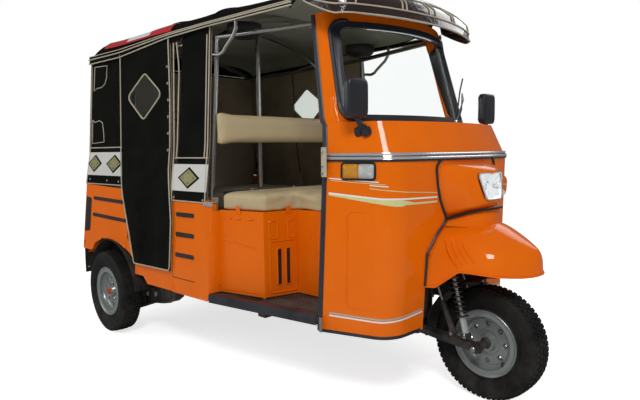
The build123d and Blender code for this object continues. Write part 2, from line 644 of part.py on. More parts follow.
def between_sides(wall):
    """The whole space between the body's two side walls, from sill to eave."""
    sections = []
    for station, column in ((TAIL_X, 1), (JAMB_X, 2)):
        right = [(-level[column] + wall + FIT, level[0]) for level in SIDE_LEVELS]
        left = [(level[column] - wall - FIT, level[0]) for level in reversed(SIDE_LEVELS)]
        with BuildSketch(Plane.YZ.offset(station)) as section:
            with BuildLine():
                Polyline(*right, *left, close=True)
            make_face()
        sections.append(section.sketch)
    with BuildPart() as space:
        loft(sections=sections, ruled=True)
    return space.part


with BuildPart() as rear_curtain:
    add(between_sides(CANVAS_WALL))
    add(prism_along_y([(TAIL_X, PANEL_TOP_TAIL + FIT), (TAIL_X + CANVAS_WALL, PANEL_TOP_TAIL + FIT),
                       (TAIL_X + CANVAS_WALL, CURTAIN_TOP), (TAIL_X, CURTAIN_TOP)]), mode=Mode.INTERSECT)
    with Locations((TAIL_X, 0, (REAR_WINDOW_LOW + REAR_WINDOW_HIGH) / 2)):
        Box(100, 2 * REAR_WINDOW_HALF, REAR_WINDOW_HIGH - REAR_WINDOW_LOW, mode=Mode.SUBTRACT)
write(rear_curtain, "rear_curtain")

with BuildPart() as rear_window:
    with Locations((TAIL_X + (CANVAS_WALL - WINDOW_SHEET) / 2, 0, (REAR_WINDOW_LOW + REAR_WINDOW_HIGH) / 2)):
        Box(WINDOW_SHEET, 2 * (REAR_WINDOW_HALF - FIT), REAR_WINDOW_HIGH - REAR_WINDOW_LOW - 2 * FIT,
            align=(Align.MIN, Align.CENTER, Align.CENTER))
write(rear_window, "rear_window")

with BuildPart() as rear_panel:
    add(between_sides(PANEL_WALL))
    add(prism_along_y([(TAIL_X, TAIL_PANEL_FOOT), (TAIL_X + TAIL_PANEL_WALL, TAIL_PANEL_FOOT),
                       (TAIL_X + TAIL_PANEL_WALL, PANEL_TOP_TAIL), (TAIL_X, PANEL_TOP_TAIL)]),
                       mode=Mode.INTERSECT)
    with Locations((TAIL_X, 0, (LID_FOOT_Z + LID_TOP_Z) / 2)):
        Box(100, 2 * (LID_HALF_WIDTH - LID_LAP), LID_TOP_Z - LID_FOOT_Z - 2 * LID_LAP, mode=Mode.SUBTRACT)
    # two knuckles above the lid carry its hinge
    hinge_x = TAIL_X - HINGE_RADIUS - FIT
    hinge_z = LID_TOP_Z + HINGE_RADIUS + HINGE_GAP
    for knuckle_y in (-LID_HALF_WIDTH * 0.6, LID_HALF_WIDTH * 0.6):
        with BuildSketch(Plane.XZ.offset(-knuckle_y)):
            with Locations((hinge_x, hinge_z)):
                Circle(HINGE_RADIUS)
            with Locations((hinge_x, hinge_z)):
                Rectangle(TAIL_X + 5 - hinge_x, 2 * HINGE_RADIUS, align=(Align.MIN, Align.CENTER))
        extrude(amount=20, both=True)
write(rear_panel, "rear_panel")

with BuildPart() as engine_lid:
    with Locations((TAIL_X - FIT, 0, (LID_FOOT_Z + LID_TOP_Z) / 2)):
        Box(LID_WALL, 2 * LID_HALF_WIDTH, LID_TOP_Z - LID_FOOT_Z,
            align=(Align.MAX, Align.CENTER, Align.CENTER))
    fillet(engine_lid.edges().filter_by(Axis.X), radius=24)
    with Locations((TAIL_X - FIT - LID_WALL, 0, LID_FOOT_Z + 40)):
        Box(4, 90, 22, align=(Align.MAX, Align.CENTER, Align.CENTER))
write(engine_lid, "engine_lid")

TAIL_LAMP_HALF_SPAN = 632
TAIL_LAMP_SIZE = (TAIL_LAMP_DEPTH - FIT, 44, 160)
TAIL_LAMP_Z = 700
with BuildPart() as tail_lamps:
    with Locations(*[(TAIL_X - FIT, side * TAIL_LAMP_HALF_SPAN, TAIL_LAMP_Z) for side in SIDES.values()]):
        Box(*TAIL_LAMP_SIZE, align=(Align.MAX, Align.CENTER, Align.CENTER))
write(tail_lamps, "tail_lamps")

FLAP_RUBBER = 6
MUDFLAP_FOOT_Z = 296
MUDFLAP_TOP_Z = 520
MUDFLAP_WIDTH = 110
with BuildPart() as mudflaps:
    for side in SIDES.values():
        mudflap_y = side * (side_half_width(TAIL_X, SIDE_LEVELS[0][0]) - PANEL_WALL - MUDFLAP_WIDTH / 2 - 22)
        with Locations((TAIL_X + TAIL_PANEL_WALL + FIT, mudflap_y, MUDFLAP_FOOT_Z)):
            Box(FLAP_RUBBER, MUDFLAP_WIDTH, MUDFLAP_TOP_Z - MUDFLAP_FOOT_Z,
                align=(Align.MIN, Align.CENTER, Align.MIN))
write(mudflaps, "mudflaps")

# ================================================================ seats
SEAT_PLAN = [(SEAT_REAR_X, 590), (SEAT_FRONT_X, 528), (SEAT_FRONT_X + 36, 351), (SEAT_FRONT_X + 205, 345)]
BACKREST_LOW = 1082
BACKREST_HIGH = 1218
BACKREST_THICK = 48
BACKREST_HALF = 540


def seat_outline(height, inset=0):
    """The driver's seat in plan: wide behind, narrow in front."""
    right = [(x, -half) for x, half in SEAT_PLAN]
    left = [(x, half) for x, half in reversed(SEAT_PLAN)]
    with BuildSketch(Plane.XY.offset(height)) as outline:
        with BuildLine():
            Polyline(*right, *left, close=True)
        make_face()
        if inset:
            offset(amount=-inset, kind=Kind.INTERSECTION)
    return outline.sketch


with BuildPart() as seat_box:
    add(seat_outline(FLOOR_TOP + FIT))
    extrude(amount=SEAT_BOX_TOP - FLOOR_TOP - FIT)
write(seat_box, "seat_box")

with BuildPart() as driver_cushion:
    add(seat_outline(SEAT_BOX_TOP + FIT, 4))
    extrude(amount=CUSHION_THICK)
    fillet(driver_cushion.edges().group_by(Axis.Z)[-1], radius=22)
write(driver_cushion, "driver_cushion")

with BuildPart() as driver_backrest:
    with Locations((POLE_X + TUBE_RADIUS + FIT, 0, (BACKREST_LOW + BACKREST_HIGH) / 2)):
        Box(BACKREST_THICK, 2 * BACKREST_HALF, BACKREST_HIGH - BACKREST_LOW,
            align=(Align.MIN, Align.CENTER, Align.CENTER))
    fillet(driver_backrest.edges().filter_by(Axis.Y), radius=16)
write(driver_backrest, "driver_backrest")

BENCH_FRONT_X = past_rear(370)
BENCH_DECK_Z = 680
BENCH_WALL = 20
BENCH_CUSHION_THICK = 110
BENCH_CUSHION_REAR_X = past_rear(-160)
BENCH_HALF = 560
BENCH_BACK_THICK = 90
BENCH_BACK_HIGH = 1290
with BuildPart() as bench_base:
    add(between_sides(PANEL_WALL))
    add(prism_along_y([(TAIL_X + TAIL_PANEL_WALL + FIT, BENCH_DECK_Z), (BENCH_FRONT_X, BENCH_DECK_Z),
                       (BENCH_FRONT_X, FLOOR_TOP - FLOOR_THICK),
                       (BENCH_FRONT_X - BENCH_WALL, FLOOR_TOP - FLOOR_THICK),
                       (BENCH_FRONT_X - BENCH_WALL, BENCH_DECK_Z - BENCH_WALL),
                       (TAIL_X + TAIL_PANEL_WALL + FIT, BENCH_DECK_Z - BENCH_WALL)]), mode=Mode.INTERSECT)
write(bench_base, "bench_base")

with BuildPart() as bench_cushion:
    with Locations((BENCH_CUSHION_REAR_X, 0, BENCH_DECK_Z + FIT)):
        Box(BENCH_FRONT_X + 15 - BENCH_CUSHION_REAR_X, 2 * BENCH_HALF, BENCH_CUSHION_THICK,
            align=(Align.MIN, Align.CENTER, Align.MIN))
    fillet(bench_cushion.edges().group_by(Axis.Z)[-1], radius=30)
write(bench_cushion, "bench_cushion")

BACK_LEAN = 90
with BuildPart() as bench_back:
    foot_x = BENCH_CUSHION_REAR_X - FIT
    with BuildSketch(Plane.XZ):
        with BuildLine():
            Polyline((foot_x, BENCH_DECK_Z + FIT), (foot_x - BENCH_BACK_THICK, BENCH_DECK_Z + FIT),
                     (foot_x - BENCH_BACK_THICK - BACK_LEAN, BENCH_BACK_HIGH),
                     (foot_x - BACK_LEAN, BENCH_BACK_HIGH), close=True)
        make_face()
    extrude(amount=BENCH_HALF - 20, both=True)
    fillet(bench_back.edges().filter_by(Axis.Y).group_by(Axis.Z)[-1], radius=24)
write(bench_back, "bench_back")

# ================================================================ rear wheel carriers and engine
ARM_RADIUS = 22
ARM_PIVOT_X = past_rear(420)
ARM_PIVOT_Z = 298
REAR_WHEEL_Y = REAR_TRACK / 2
DRUM_RADIUS = 100
DRUM_INNER = -78  # measured from the wheel's middle plane, outwards
DRUM_OUTER = -34
AXLE_RADIUS = 12
REAR_AXLE_OUTER = 32
with BuildPart() as swing_arms:
    for side in SIDES.values():
        rail_face = RAIL_HALF_SPAN + RAIL_WIDTH / 2 + FIT
        drum_y = REAR_WHEEL_Y + DRUM_INNER
        with BuildSketch(Plane.XZ.offset(-side * rail_face)):
            with Locations((ARM_PIVOT_X, ARM_PIVOT_Z)):
                Circle(ARM_RADIUS + 10)
        extrude(amount=-side * 60)
        add(bar((ARM_PIVOT_X, side * (rail_face + 34), ARM_PIVOT_Z),
                (REAR_AXLE_X, side * (drum_y + 10), TYRE_RADIUS), ARM_RADIUS))
        with BuildSketch(Plane.XZ.offset(-side * drum_y)):
            with Locations((REAR_AXLE_X, TYRE_RADIUS)):
                Circle(DRUM_RADIUS)
        extrude(amount=-side * (DRUM_OUTER - DRUM_INNER))
        with BuildSketch(Plane.XZ.offset(-side * drum_y)):
            with Locations((REAR_AXLE_X, TYRE_RADIUS)):
                Circle(AXLE_RADIUS)
        extrude(amount=-side * (REAR_AXLE_OUTER - DRUM_INNER))
write(swing_arms, "swing_arms")

ENGINE_LENGTH = 260
ENGINE_WIDTH = 340
ENGINE_FOOT_Z = 165
ENGINE_TOP_Z = 480
with BuildPart() as engine_block:
    with Locations((past_rear(-85), 0, ENGINE_FOOT_Z)):
        Box(ENGINE_LENGTH, ENGINE_WIDTH, ENGINE_TOP_Z - ENGINE_FOOT_Z,
            align=(Align.CENTER, Align.CENTER, Align.MIN))
    with Locations((past_rear(-60), 0, RAIL_TOP - RAIL_HEIGHT / 2)):
        Box(70, 2 * (RAIL_HALF_SPAN - RAIL_WIDTH / 2 - FIT), RAIL_HEIGHT - 10)
write(engine_block, "engine_block")

# ================================================================ wheels
#              radius, offset outwards from the wheel's middle plane
HUB_RADIUS = 40
RIM_WELL_RADIUS = 113
RIM_SHEET = 6
DISC_OFFSET = 6
WHEEL_HOLE_CIRCLE = 78
WHEEL_HOLE_RADIUS = 11
WHEEL_HOLES = 8
FLANGE = 5


def make_rim(centre_x, centre_y, outwards, name):
    """A pressed steel rim with its hub, round the wheel's axle."""
    plane = Plane(origin=(centre_x, centre_y, TYRE_RADIUS), x_dir=(1, 0, 0), z_dir=(0, 0, outwards))
    half = RIM_WIDTH / 2
    bore = AXLE_RADIUS + RUNNING
    with BuildPart() as rim:
        with BuildSketch(plane):
            with BuildLine():
                Polyline((bore, -26), (HUB_RADIUS, -26), (HUB_RADIUS, DISC_OFFSET),
                         (RIM_WELL_RADIUS, DISC_OFFSET),
                         (RIM_WELL_RADIUS, -half), (RIM_RADIUS, -half), (RIM_RADIUS, FLANGE - half),
                         (RIM_WELL_RADIUS + RIM_SHEET, FLANGE - half),
                         (RIM_WELL_RADIUS + RIM_SHEET, half - FLANGE),
                         (RIM_RADIUS, half - FLANGE), (RIM_RADIUS, half), (RIM_WELL_RADIUS, half),
                         (RIM_WELL_RADIUS, DISC_OFFSET + RIM_SHEET), (HUB_RADIUS, DISC_OFFSET + RIM_SHEET),
                         (HUB_RADIUS - 8, 30), (bore, 30), close=True)
            make_face()
        revolve(axis=Axis((centre_x, centre_y, TYRE_RADIUS), (0, 1, 0)))
        with BuildSketch(Plane(origin=(centre_x, centre_y, TYRE_RADIUS), x_dir=(1, 0, 0),
                               z_dir=(0, -outwards, 0))):
            with PolarLocations(WHEEL_HOLE_CIRCLE, WHEEL_HOLES):
                Circle(WHEEL_HOLE_RADIUS)
        extrude(amount=-2 * DISC_OFFSET - 2 * RIM_SHEET, mode=Mode.SUBTRACT)
    write(rim, name)


def make_tyre(centre_x, centre_y, name):
    """A tyre seated between the rim's flanges."""
    bead_half = RIM_WIDTH / 2 - FLANGE - FIT
    bead_radius = RIM_WELL_RADIUS + RIM_SHEET + FIT
    half = TYRE_WIDTH / 2
    bulge_radius = (RIM_RADIUS + TYRE_RADIUS) / 2
    shoulder = (TYRE_RADIUS - 12, half * 0.72)
    with BuildPart() as tyre:
        with BuildSketch(Plane(origin=(centre_x, centre_y, TYRE_RADIUS), x_dir=(1, 0, 0), z_dir=(0, 0, 1))):
            with BuildLine():
                Polyline((RIM_RADIUS + 1, -bead_half), (bead_radius, -bead_half), (bead_radius, bead_half),
                         (RIM_RADIUS + 1, bead_half))
                ThreePointArc((RIM_RADIUS + 1, bead_half), (bulge_radius, half), shoulder)
                ThreePointArc(shoulder, (TYRE_RADIUS, 0), (shoulder[0], -shoulder[1]))
                ThreePointArc((shoulder[0], -shoulder[1]), (bulge_radius, -half),
                              (RIM_RADIUS + 1, -bead_half))
            make_face()
        revolve(axis=Axis((centre_x, centre_y, TYRE_RADIUS), (0, 1, 0)))
    write(tyre, name)


for side_name, side in SIDES.items():
    make_rim(REAR_AXLE_X, side * REAR_WHEEL_Y, side, f"rear_rim_{side_name}")
    make_tyre(REAR_AXLE_X, side * REAR_WHEEL_Y, f"rear_tyre_{side_name}")
make_rim(FRONT_AXLE_X, 0, SIDES["right"], "front_rim")
make_tyre(FRONT_AXLE_X, 0, "front_tyre")

# ================================================================ front fork: column, crown, stem and links
FORK_STEM_X = ahead(-313)
FORK_STEM_RADIUS = 25
FORK_YOKE_Z = 258
FORK_YOKE_X = ahead(-290)
LINK_HALF_SPAN = 104
LINK_THICK = 12
LINK_HEIGHT = 40
COLUMN_TOP_Z = 985
SPRING_FOOT = (ahead(-45), 268)
SPRING_HEAD = (ahead(-118), CROWN_Z - CROWN_THICK / 2)
DAMPER_FOOT = (ahead(-108), 268)
DAMPER_HEAD = (ahead(-222), CROWN_Z - CROWN_THICK / 2)
FRONT_SPRING_RADIUS = 24
DAMPER_RADIUS = 15
with BuildPart() as front_fork:
    add(steering_rod(COLUMN_RADIUS, CROWN_Z, COLUMN_TOP_Z))
    with BuildSketch(Plane.XY.offset(CROWN_Z - CROWN_THICK / 2)):
        with BuildLine():
            Polyline((FORK_STEM_X - 30, -34), (SPRING_HEAD[0] + 34, -LINK_HALF_SPAN - 28),
                     (SPRING_HEAD[0] + 34, LINK_HALF_SPAN + 28), (FORK_STEM_X - 30, 34), close=True)
        make_face()
    extrude(amount=CROWN_THICK)
    add(bar((FORK_STEM_X, 0, FORK_YOKE_Z - 20), (FORK_STEM_X, 0, CROWN_Z), FORK_STEM_RADIUS))
    # the yoke carries the links' pivots behind the tyre
    add(bar((FORK_YOKE_X, -LINK_HALF_SPAN - 22, FORK_YOKE_Z),
            (FORK_YOKE_X, LINK_HALF_SPAN + 22, FORK_YOKE_Z), 22))
    for side in SIDES.values():
        with BuildSketch(Plane.XZ.offset(-side * LINK_HALF_SPAN)):
            with BuildLine():
                Polyline((FORK_YOKE_X, FORK_YOKE_Z - LINK_HEIGHT / 2),
                         (FRONT_AXLE_X + 20, TYRE_RADIUS - LINK_HEIGHT / 2),
                         (FRONT_AXLE_X + 20, TYRE_RADIUS + LINK_HEIGHT / 2),
                         (FORK_YOKE_X, FORK_YOKE_Z + LINK_HEIGHT / 2),
                         close=True)
            make_face()
        extrude(amount=LINK_THICK / 2, both=True)
    add(bar((FRONT_AXLE_X, -LINK_HALF_SPAN - 16, TYRE_RADIUS),
            (FRONT_AXLE_X, LINK_HALF_SPAN + 16, TYRE_RADIUS),
            AXLE_RADIUS))
write(front_fork, "front_fork")

with BuildPart() as front_springs:
    for side in SIDES.values():
        for foot, head, radius in ((SPRING_FOOT, SPRING_HEAD, FRONT_SPRING_RADIUS),
                                   (DAMPER_FOOT, DAMPER_HEAD, DAMPER_RADIUS)):
            add(bar((foot[0], side * LINK_HALF_SPAN, foot[1]),
                    (head[0], side * LINK_HALF_SPAN, head[1] - 8), radius))
    add(front_fork.part, mode=Mode.SUBTRACT)
write(front_springs, "front_springs")

# ================================================================ handlebar
BAR_RADIUS = 11
BAR_CENTRE = (ahead(-430), 0, 1050)
STALK_RADIUS = 14
KNEE_HALF_SPAN = 150
GRIP_HALF_SPAN = 300
GRIP_BACK = 70
with BuildPart() as handlebar:
    # the clamp is a socket over the column's end
    add(steering_rod(COLUMN_RADIUS + 9, COLUMN_TOP_Z - 40, COLUMN_TOP_Z + 16))
    add(steering_rod(COLUMN_RADIUS + FIT, COLUMN_TOP_Z - 60, COLUMN_TOP_Z + FIT), mode=Mode.SUBTRACT)
    add(bar((steer_x(COLUMN_TOP_Z + 8), 0, COLUMN_TOP_Z + 8), BAR_CENTRE, STALK_RADIUS))
    add(bar((BAR_CENTRE[0], -KNEE_HALF_SPAN, BAR_CENTRE[2]), (BAR_CENTRE[0], KNEE_HALF_SPAN, BAR_CENTRE[2]),
            BAR_RADIUS))
    for side in SIDES.values():
        knee = Vector(BAR_CENTRE[0], side * KNEE_HALF_SPAN, BAR_CENTRE[2])
        grip = Vector(BAR_CENTRE[0] - GRIP_BACK, side * GRIP_HALF_SPAN, BAR_CENTRE[2] - 12)
        with Locations(knee):
            Sphere(BAR_RADIUS + 1)
        add(bar(tuple(knee), tuple(grip), BAR_RADIUS))
        add(bar(tuple(knee + (grip - knee) * 0.35), tuple(grip + (grip - knee).normalized() * 2),
                BAR_RADIUS + 5))
write(handlebar, "handlebar")

# ================================================================ mirrors and wiper
MIRROR_X = ahead(-300)
MIRROR_HALF_SPAN = 492
MIRROR_LOW = 1160
MIRROR_SIZE = (44, 112, 152)
MIRROR_FOOT = (ahead(-300), 452, 1100)
with BuildPart() as mirrors:
    for side in SIDES.values():
        with Locations((MIRROR_X, side * MIRROR_HALF_SPAN, MIRROR_LOW)):
            Box(*MIRROR_SIZE, align=(Align.CENTER, Align.CENTER, Align.MIN))
    fillet(mirrors.edges().filter_by(Axis.X), radius=24)
    for side in SIDES.values():
        add(bar((MIRROR_FOOT[0], side * MIRROR_FOOT[1], MIRROR_FOOT[2]),
                (MIRROR_X, side * MIRROR_HALF_SPAN, MIRROR_LOW + 10), 8))
        with Locations((MIRROR_FOOT[0], side * MIRROR_FOOT[1], MIRROR_FOOT[2])):
            Sphere(20)
    add(cowl_block(FIT), mode=Mode.SUBTRACT)
write(mirrors, "mirrors")
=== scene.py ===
# %% [markdown]
# # A three-wheeled taxi, dressed in Blender
# The steel, the tubes and the wheels come from a CAD model that is loaded as a fixed frame. Here they get
# their finishes, and the canvas, the padding, the rubber and the small trim are modelled around them.
# Everything is in metres: +X points forward, +Y to the vehicle's left, +Z up, and the ground is at 0.

# %% Load the frame
from math import cos, pi, radians, sin, sqrt, tan

import bmesh
import bpy
from mathutils import Matrix, Vector, geometry, noise
from mathutils.bvhtree import BVHTree


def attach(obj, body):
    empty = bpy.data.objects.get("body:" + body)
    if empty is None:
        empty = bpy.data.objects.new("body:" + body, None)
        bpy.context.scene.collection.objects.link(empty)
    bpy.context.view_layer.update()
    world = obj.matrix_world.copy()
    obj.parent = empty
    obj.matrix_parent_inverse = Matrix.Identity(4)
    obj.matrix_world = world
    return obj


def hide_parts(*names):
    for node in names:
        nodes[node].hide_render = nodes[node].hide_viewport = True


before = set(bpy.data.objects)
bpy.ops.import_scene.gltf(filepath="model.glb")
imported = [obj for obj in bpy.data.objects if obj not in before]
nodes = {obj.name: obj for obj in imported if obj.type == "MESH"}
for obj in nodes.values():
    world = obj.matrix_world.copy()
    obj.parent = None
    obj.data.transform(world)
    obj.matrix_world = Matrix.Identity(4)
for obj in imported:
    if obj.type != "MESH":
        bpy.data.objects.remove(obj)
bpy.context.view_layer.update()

# %% [markdown]
# ## The camera
# A camera is a place, a direction and a lens. The direction is built from three angles, and the matrix's
# columns are the camera's right, up and backward directions. Depth of field stays off, so all is sharp.

# %% Camera
CAMERA_PLACE = Vector((2.20939, -2.10337, 1.04078))
CAMERA_YAW, CAMERA_PITCH, CAMERA_ROLL = -0.79159, 0.08887, -0.01155
LENS_MM = 31.449

forward = Vector((sin(CAMERA_YAW) * cos(CAMERA_PITCH), cos(CAMERA_YAW) * cos(CAMERA_PITCH),
                  -sin(CAMERA_PITCH)))
level_right = Vector((cos(CAMERA_YAW), -sin(CAMERA_YAW), 0))
level_up = level_right.cross(forward)
right = cos(CAMERA_ROLL) * level_right + sin(CAMERA_ROLL) * level_up
up = cos(CAMERA_ROLL) * level_up - sin(CAMERA_ROLL) * level_right
camera_data = bpy.data.cameras.new("studio_camera")
camera_data.sensor_fit, camera_data.sensor_width, camera_data.lens = "HORIZONTAL", 36, LENS_MM
camera = bpy.data.objects.new("studio_camera", camera_data)
camera.matrix_world = Matrix.Translation(CAMERA_PLACE) @ Matrix((right, up, -forward)).transposed().to_4x4()
bpy.context.scene.collection.objects.link(camera)
bpy.context.scene.camera = camera
bpy.context.scene.view_settings.view_transform = "Standard"
print("camera", round(CAMERA_PLACE.length, 3), "m from the middle of the vehicle's foot")

# %% [markdown]
# ## Node helpers
# A material is a graph. These two helpers keep the graphs short: `wire` adds a node and fills its inputs
# with values or with other nodes' outputs, and `group` makes a reusable graph with named sockets.

# %% Node helpers
def wire(graph, kind, values=None, **settings):
    """Add a node; its inputs take plain values or are linked from the sockets they are given."""
    made = graph.nodes.new(kind)
    for name, value in settings.items():
        setattr(made, name, value)
    for key, value in (values or {}).items():
        socket = made.inputs[key]
        if isinstance(value, bpy.types.NodeSocket):
            graph.links.new(value, socket)
        else:
            socket.default_value = value
    return made


SOCKETS = {"number": "NodeSocketFloat", "colour": "NodeSocketColor", "vector": "NodeSocketVector"}


def group(name, takes, gives):
    """A shader node group with the given named inputs and outputs; returns it with its two end nodes."""
    made = bpy.data.node_groups.new(name, "ShaderNodeTree")
    for label, kind in takes:
        made.interface.new_socket(label, in_out="INPUT", socket_type=SOCKETS[kind])
    for label, kind in gives:
        made.interface.new_socket(label, in_out="OUTPUT", socket_type=SOCKETS[kind])
    return made, made.nodes.new("NodeGroupInput"), made.nodes.new("NodeGroupOutput")


def math(graph, operation, first, second=0.0, third=0.0):
    """One Math node's result."""
    return wire(graph, "ShaderNodeMath", {0: first, 1: second, 2: third}, operation=operation).outputs[0]


# %% [markdown]
# ## Shared effects
# Road dust is heaviest low down and lies in patches. Coated cloth shows its threads: three sets of bands,
# one along each axis, always leave a crossing pattern on a flat side. Vinyl has pebbled cells. Sprayed
# paint has a faint ripple called orange peel.

# %% Dust group
dust, takes, gives = group("road_dust",
                           [("Colour", "colour"), ("Dust Colour", "colour"), ("Amount", "number"),
                            ("Clean Height", "number"), ("Patch Scale", "number"), ("Roughness", "number")],
                           [("Colour", "colour"), ("Roughness", "number")])
place = wire(dust, "ShaderNodeTexCoord").outputs["Object"]
height = wire(dust, "ShaderNodeSeparateXYZ", {0: place}).outputs["Z"]
low = wire(dust, "ShaderNodeMapRange", {"Value": height, "From Min": takes.outputs["Clean Height"],
                                        "From Max": 0.0}, clamp=True).outputs[0]
patch = wire(dust, "ShaderNodeTexNoise", {"Vector": place, "Scale": takes.outputs["Patch Scale"],
                                          "Detail": 5.0, "Roughness": 0.65}).outputs["Fac"]
soft = wire(dust, "ShaderNodeMapRange", {"Value": patch, "From Min": 0.35, "From Max": 0.7},
            clamp=True).outputs[0]
veil = math(dust, "MULTIPLY_ADD", low, 0.8, 0.2)
mask = math(dust, "MULTIPLY", math(dust, "MULTIPLY", soft, veil), takes.outputs["Amount"])
mixed = wire(dust, "ShaderNodeMix", {0: mask, 6: takes.outputs["Colour"], 7: takes.outputs["Dust Colour"]},
             data_type="RGBA").outputs[2]
dust.links.new(mixed, gives.inputs["Colour"])
dust.links.new(math(dust, "MULTIPLY_ADD", mask, 0.5, takes.outputs["Roughness"]), gives.inputs["Roughness"])

# %% Weave, grain and peel groups
weave, takes, gives = group("cloth_weave", [("Thread Size", "number"), ("Unevenness", "number")],
                            [("Height", "number"), ("Tone", "number")])
place = wire(weave, "ShaderNodeTexCoord").outputs["Object"]
jitter = wire(weave, "ShaderNodeTexNoise", {"Vector": place, "Scale": 60.0, "Detail": 3.0})
shift = wire(weave, "ShaderNodeVectorMath", {0: jitter.outputs["Color"], 3: takes.outputs["Unevenness"]},
             operation="SCALE").outputs[0]
moved = wire(weave, "ShaderNodeVectorMath", {0: place, 1: shift}, operation="ADD").outputs[0]
scaled = wire(weave, "ShaderNodeVectorMath", {0: moved, 1: wire(
    weave, "ShaderNodeCombineXYZ", {axis: takes.outputs["Thread Size"] for axis in range(3)}).outputs[0]},
    operation="DIVIDE").outputs[0]
parts = wire(weave, "ShaderNodeSeparateXYZ", {0: scaled})
bands = [math(weave, "SINE", math(weave, "MULTIPLY", parts.outputs[axis], 2 * pi)) for axis in range(3)]
total = math(weave, "ADD", math(weave, "ADD", bands[0], bands[1]), bands[2])
weave.links.new(math(weave, "MULTIPLY_ADD", total, 0.2, 0.5), gives.inputs["Height"])
tone = wire(weave, "ShaderNodeTexNoise", {"Vector": place, "Scale": 7.0, "Detail": 4.0}).outputs["Fac"]
weave.links.new(tone, gives.inputs["Tone"])

grain, takes, gives = group("vinyl_grain", [("Cell Scale", "number")],
                            [("Height", "number"), ("Tone", "number")])
place = wire(grain, "ShaderNodeTexCoord").outputs["Object"]
cells = wire(grain, "ShaderNodeTexVoronoi", {"Vector": place, "Scale": takes.outputs["Cell Scale"]},
             feature="SMOOTH_F1").outputs["Distance"]
folds = wire(grain, "ShaderNodeTexNoise", {"Vector": place, "Scale": 45.0, "Detail": 6.0}).outputs["Fac"]
grain.links.new(math(grain, "MULTIPLY_ADD", folds, 0.5, cells), gives.inputs["Height"])
tone = wire(grain, "ShaderNodeTexNoise", {"Vector": place, "Scale": 9.0, "Detail": 5.0}).outputs["Fac"]
grain.links.new(tone, gives.inputs["Tone"])

peel, takes, gives = group("fine_ripple", [("Scale", "number"), ("Stretch", "number")],
                           [("Height", "number")])
place = wire(peel, "ShaderNodeTexCoord").outputs["Object"]
drawn = wire(peel, "ShaderNodeMapping", {"Vector": place, "Scale": wire(
    peel, "ShaderNodeCombineXYZ", {0: 1.0, 1: 1.0, 2: takes.outputs["Stretch"]}).outputs[0]}).outputs[0]
ripple = wire(peel, "ShaderNodeTexNoise", {"Vector": drawn, "Scale": takes.outputs["Scale"], "Detail": 3.0})
peel.links.new(ripple.outputs["Fac"], gives.inputs["Height"])
print("shared effects:", [g.name for g in (dust, weave, grain, peel)])

# %% [markdown]
# ## Finishes
# One function puts the Principled shader together for every finish: a colour that varies a little, dust,
# a relief, and the shader's own plain values. Dusty rubber, glossy steel and cloth differ only in numbers.

# %% Material builder
ROAD_DUST = (0.36, 0.31, 0.25, 1)


def shade(colour, factor):
    """A colour made lighter or darker."""
    return tuple(min(1.0, channel * factor) for channel in colour[:3]) + (1,)


def material(name, colour, roughness, relief=None, depth=0.0, dirt=0.25, clean=0.7, vary=0.12, patches=6.0,
             **values):
    """A Principled material; its relief is (group, {inputs}), and its colour varies under the dust."""
    made = bpy.data.materials.new(name)
    made.use_nodes = True
    graph = made.node_tree
    shader = graph.nodes["Principled BSDF"]
    for key, value in values.items():
        shader.inputs[key.replace("_", " ")].default_value = value
    tone = wire(graph, "ShaderNodeTexNoise", {"Vector": wire(graph, "ShaderNodeTexCoord").outputs["Object"],
                                              "Scale": patches, "Detail": 4.0}).outputs["Fac"]
    spread = wire(graph, "ShaderNodeMapRange", {"Value": tone, "From Min": 0.3, "From Max": 0.7}).outputs[0]
    base = wire(graph, "ShaderNodeMix", {0: spread, 6: shade(colour, 1 - vary), 7: shade(colour, 1 + vary)},
                data_type="RGBA").outputs[2]
    soiled = wire(graph, "ShaderNodeGroup", node_tree=dust)
    for key, value in (("Colour", base), ("Dust Colour", ROAD_DUST), ("Amount", dirt),
                       ("Clean Height", clean), ("Patch Scale", patches), ("Roughness", roughness)):
        if isinstance(value, bpy.types.NodeSocket):
            graph.links.new(value, soiled.inputs[key])
        else:
            soiled.inputs[key].default_value = value
    graph.links.new(soiled.outputs["Colour"], shader.inputs["Base Color"])
    graph.links.new(soiled.outputs["Roughness"], shader.inputs["Roughness"])
    if relief:
        effect = wire(graph, "ShaderNodeGroup", node_tree=relief[0])
        for key, value in relief[1].items():
            effect.inputs[key].default_value = value
        bump = wire(graph, "ShaderNodeBump", {"Height": effect.outputs["Height"], "Strength": 1.0,
                                              "Distance": depth})
        graph.links.new(bump.outputs[0], shader.inputs["Normal"])
    return made


# %% The finishes
def cloth(thread, unevenness):
    """The relief of a woven cloth; both sizes are in metres."""
    return weave, {"Thread Size": thread, "Unevenness": unevenness}


def pebbles(scale):
    """The relief of grained vinyl or of a moulded face."""
    return grain, {"Cell Scale": scale}


def ripple(scale, stretch=1.0):
    """The relief of paint, rubber or metal; stretch draws it out upwards."""
    return peel, {"Scale": scale, "Stretch": stretch}


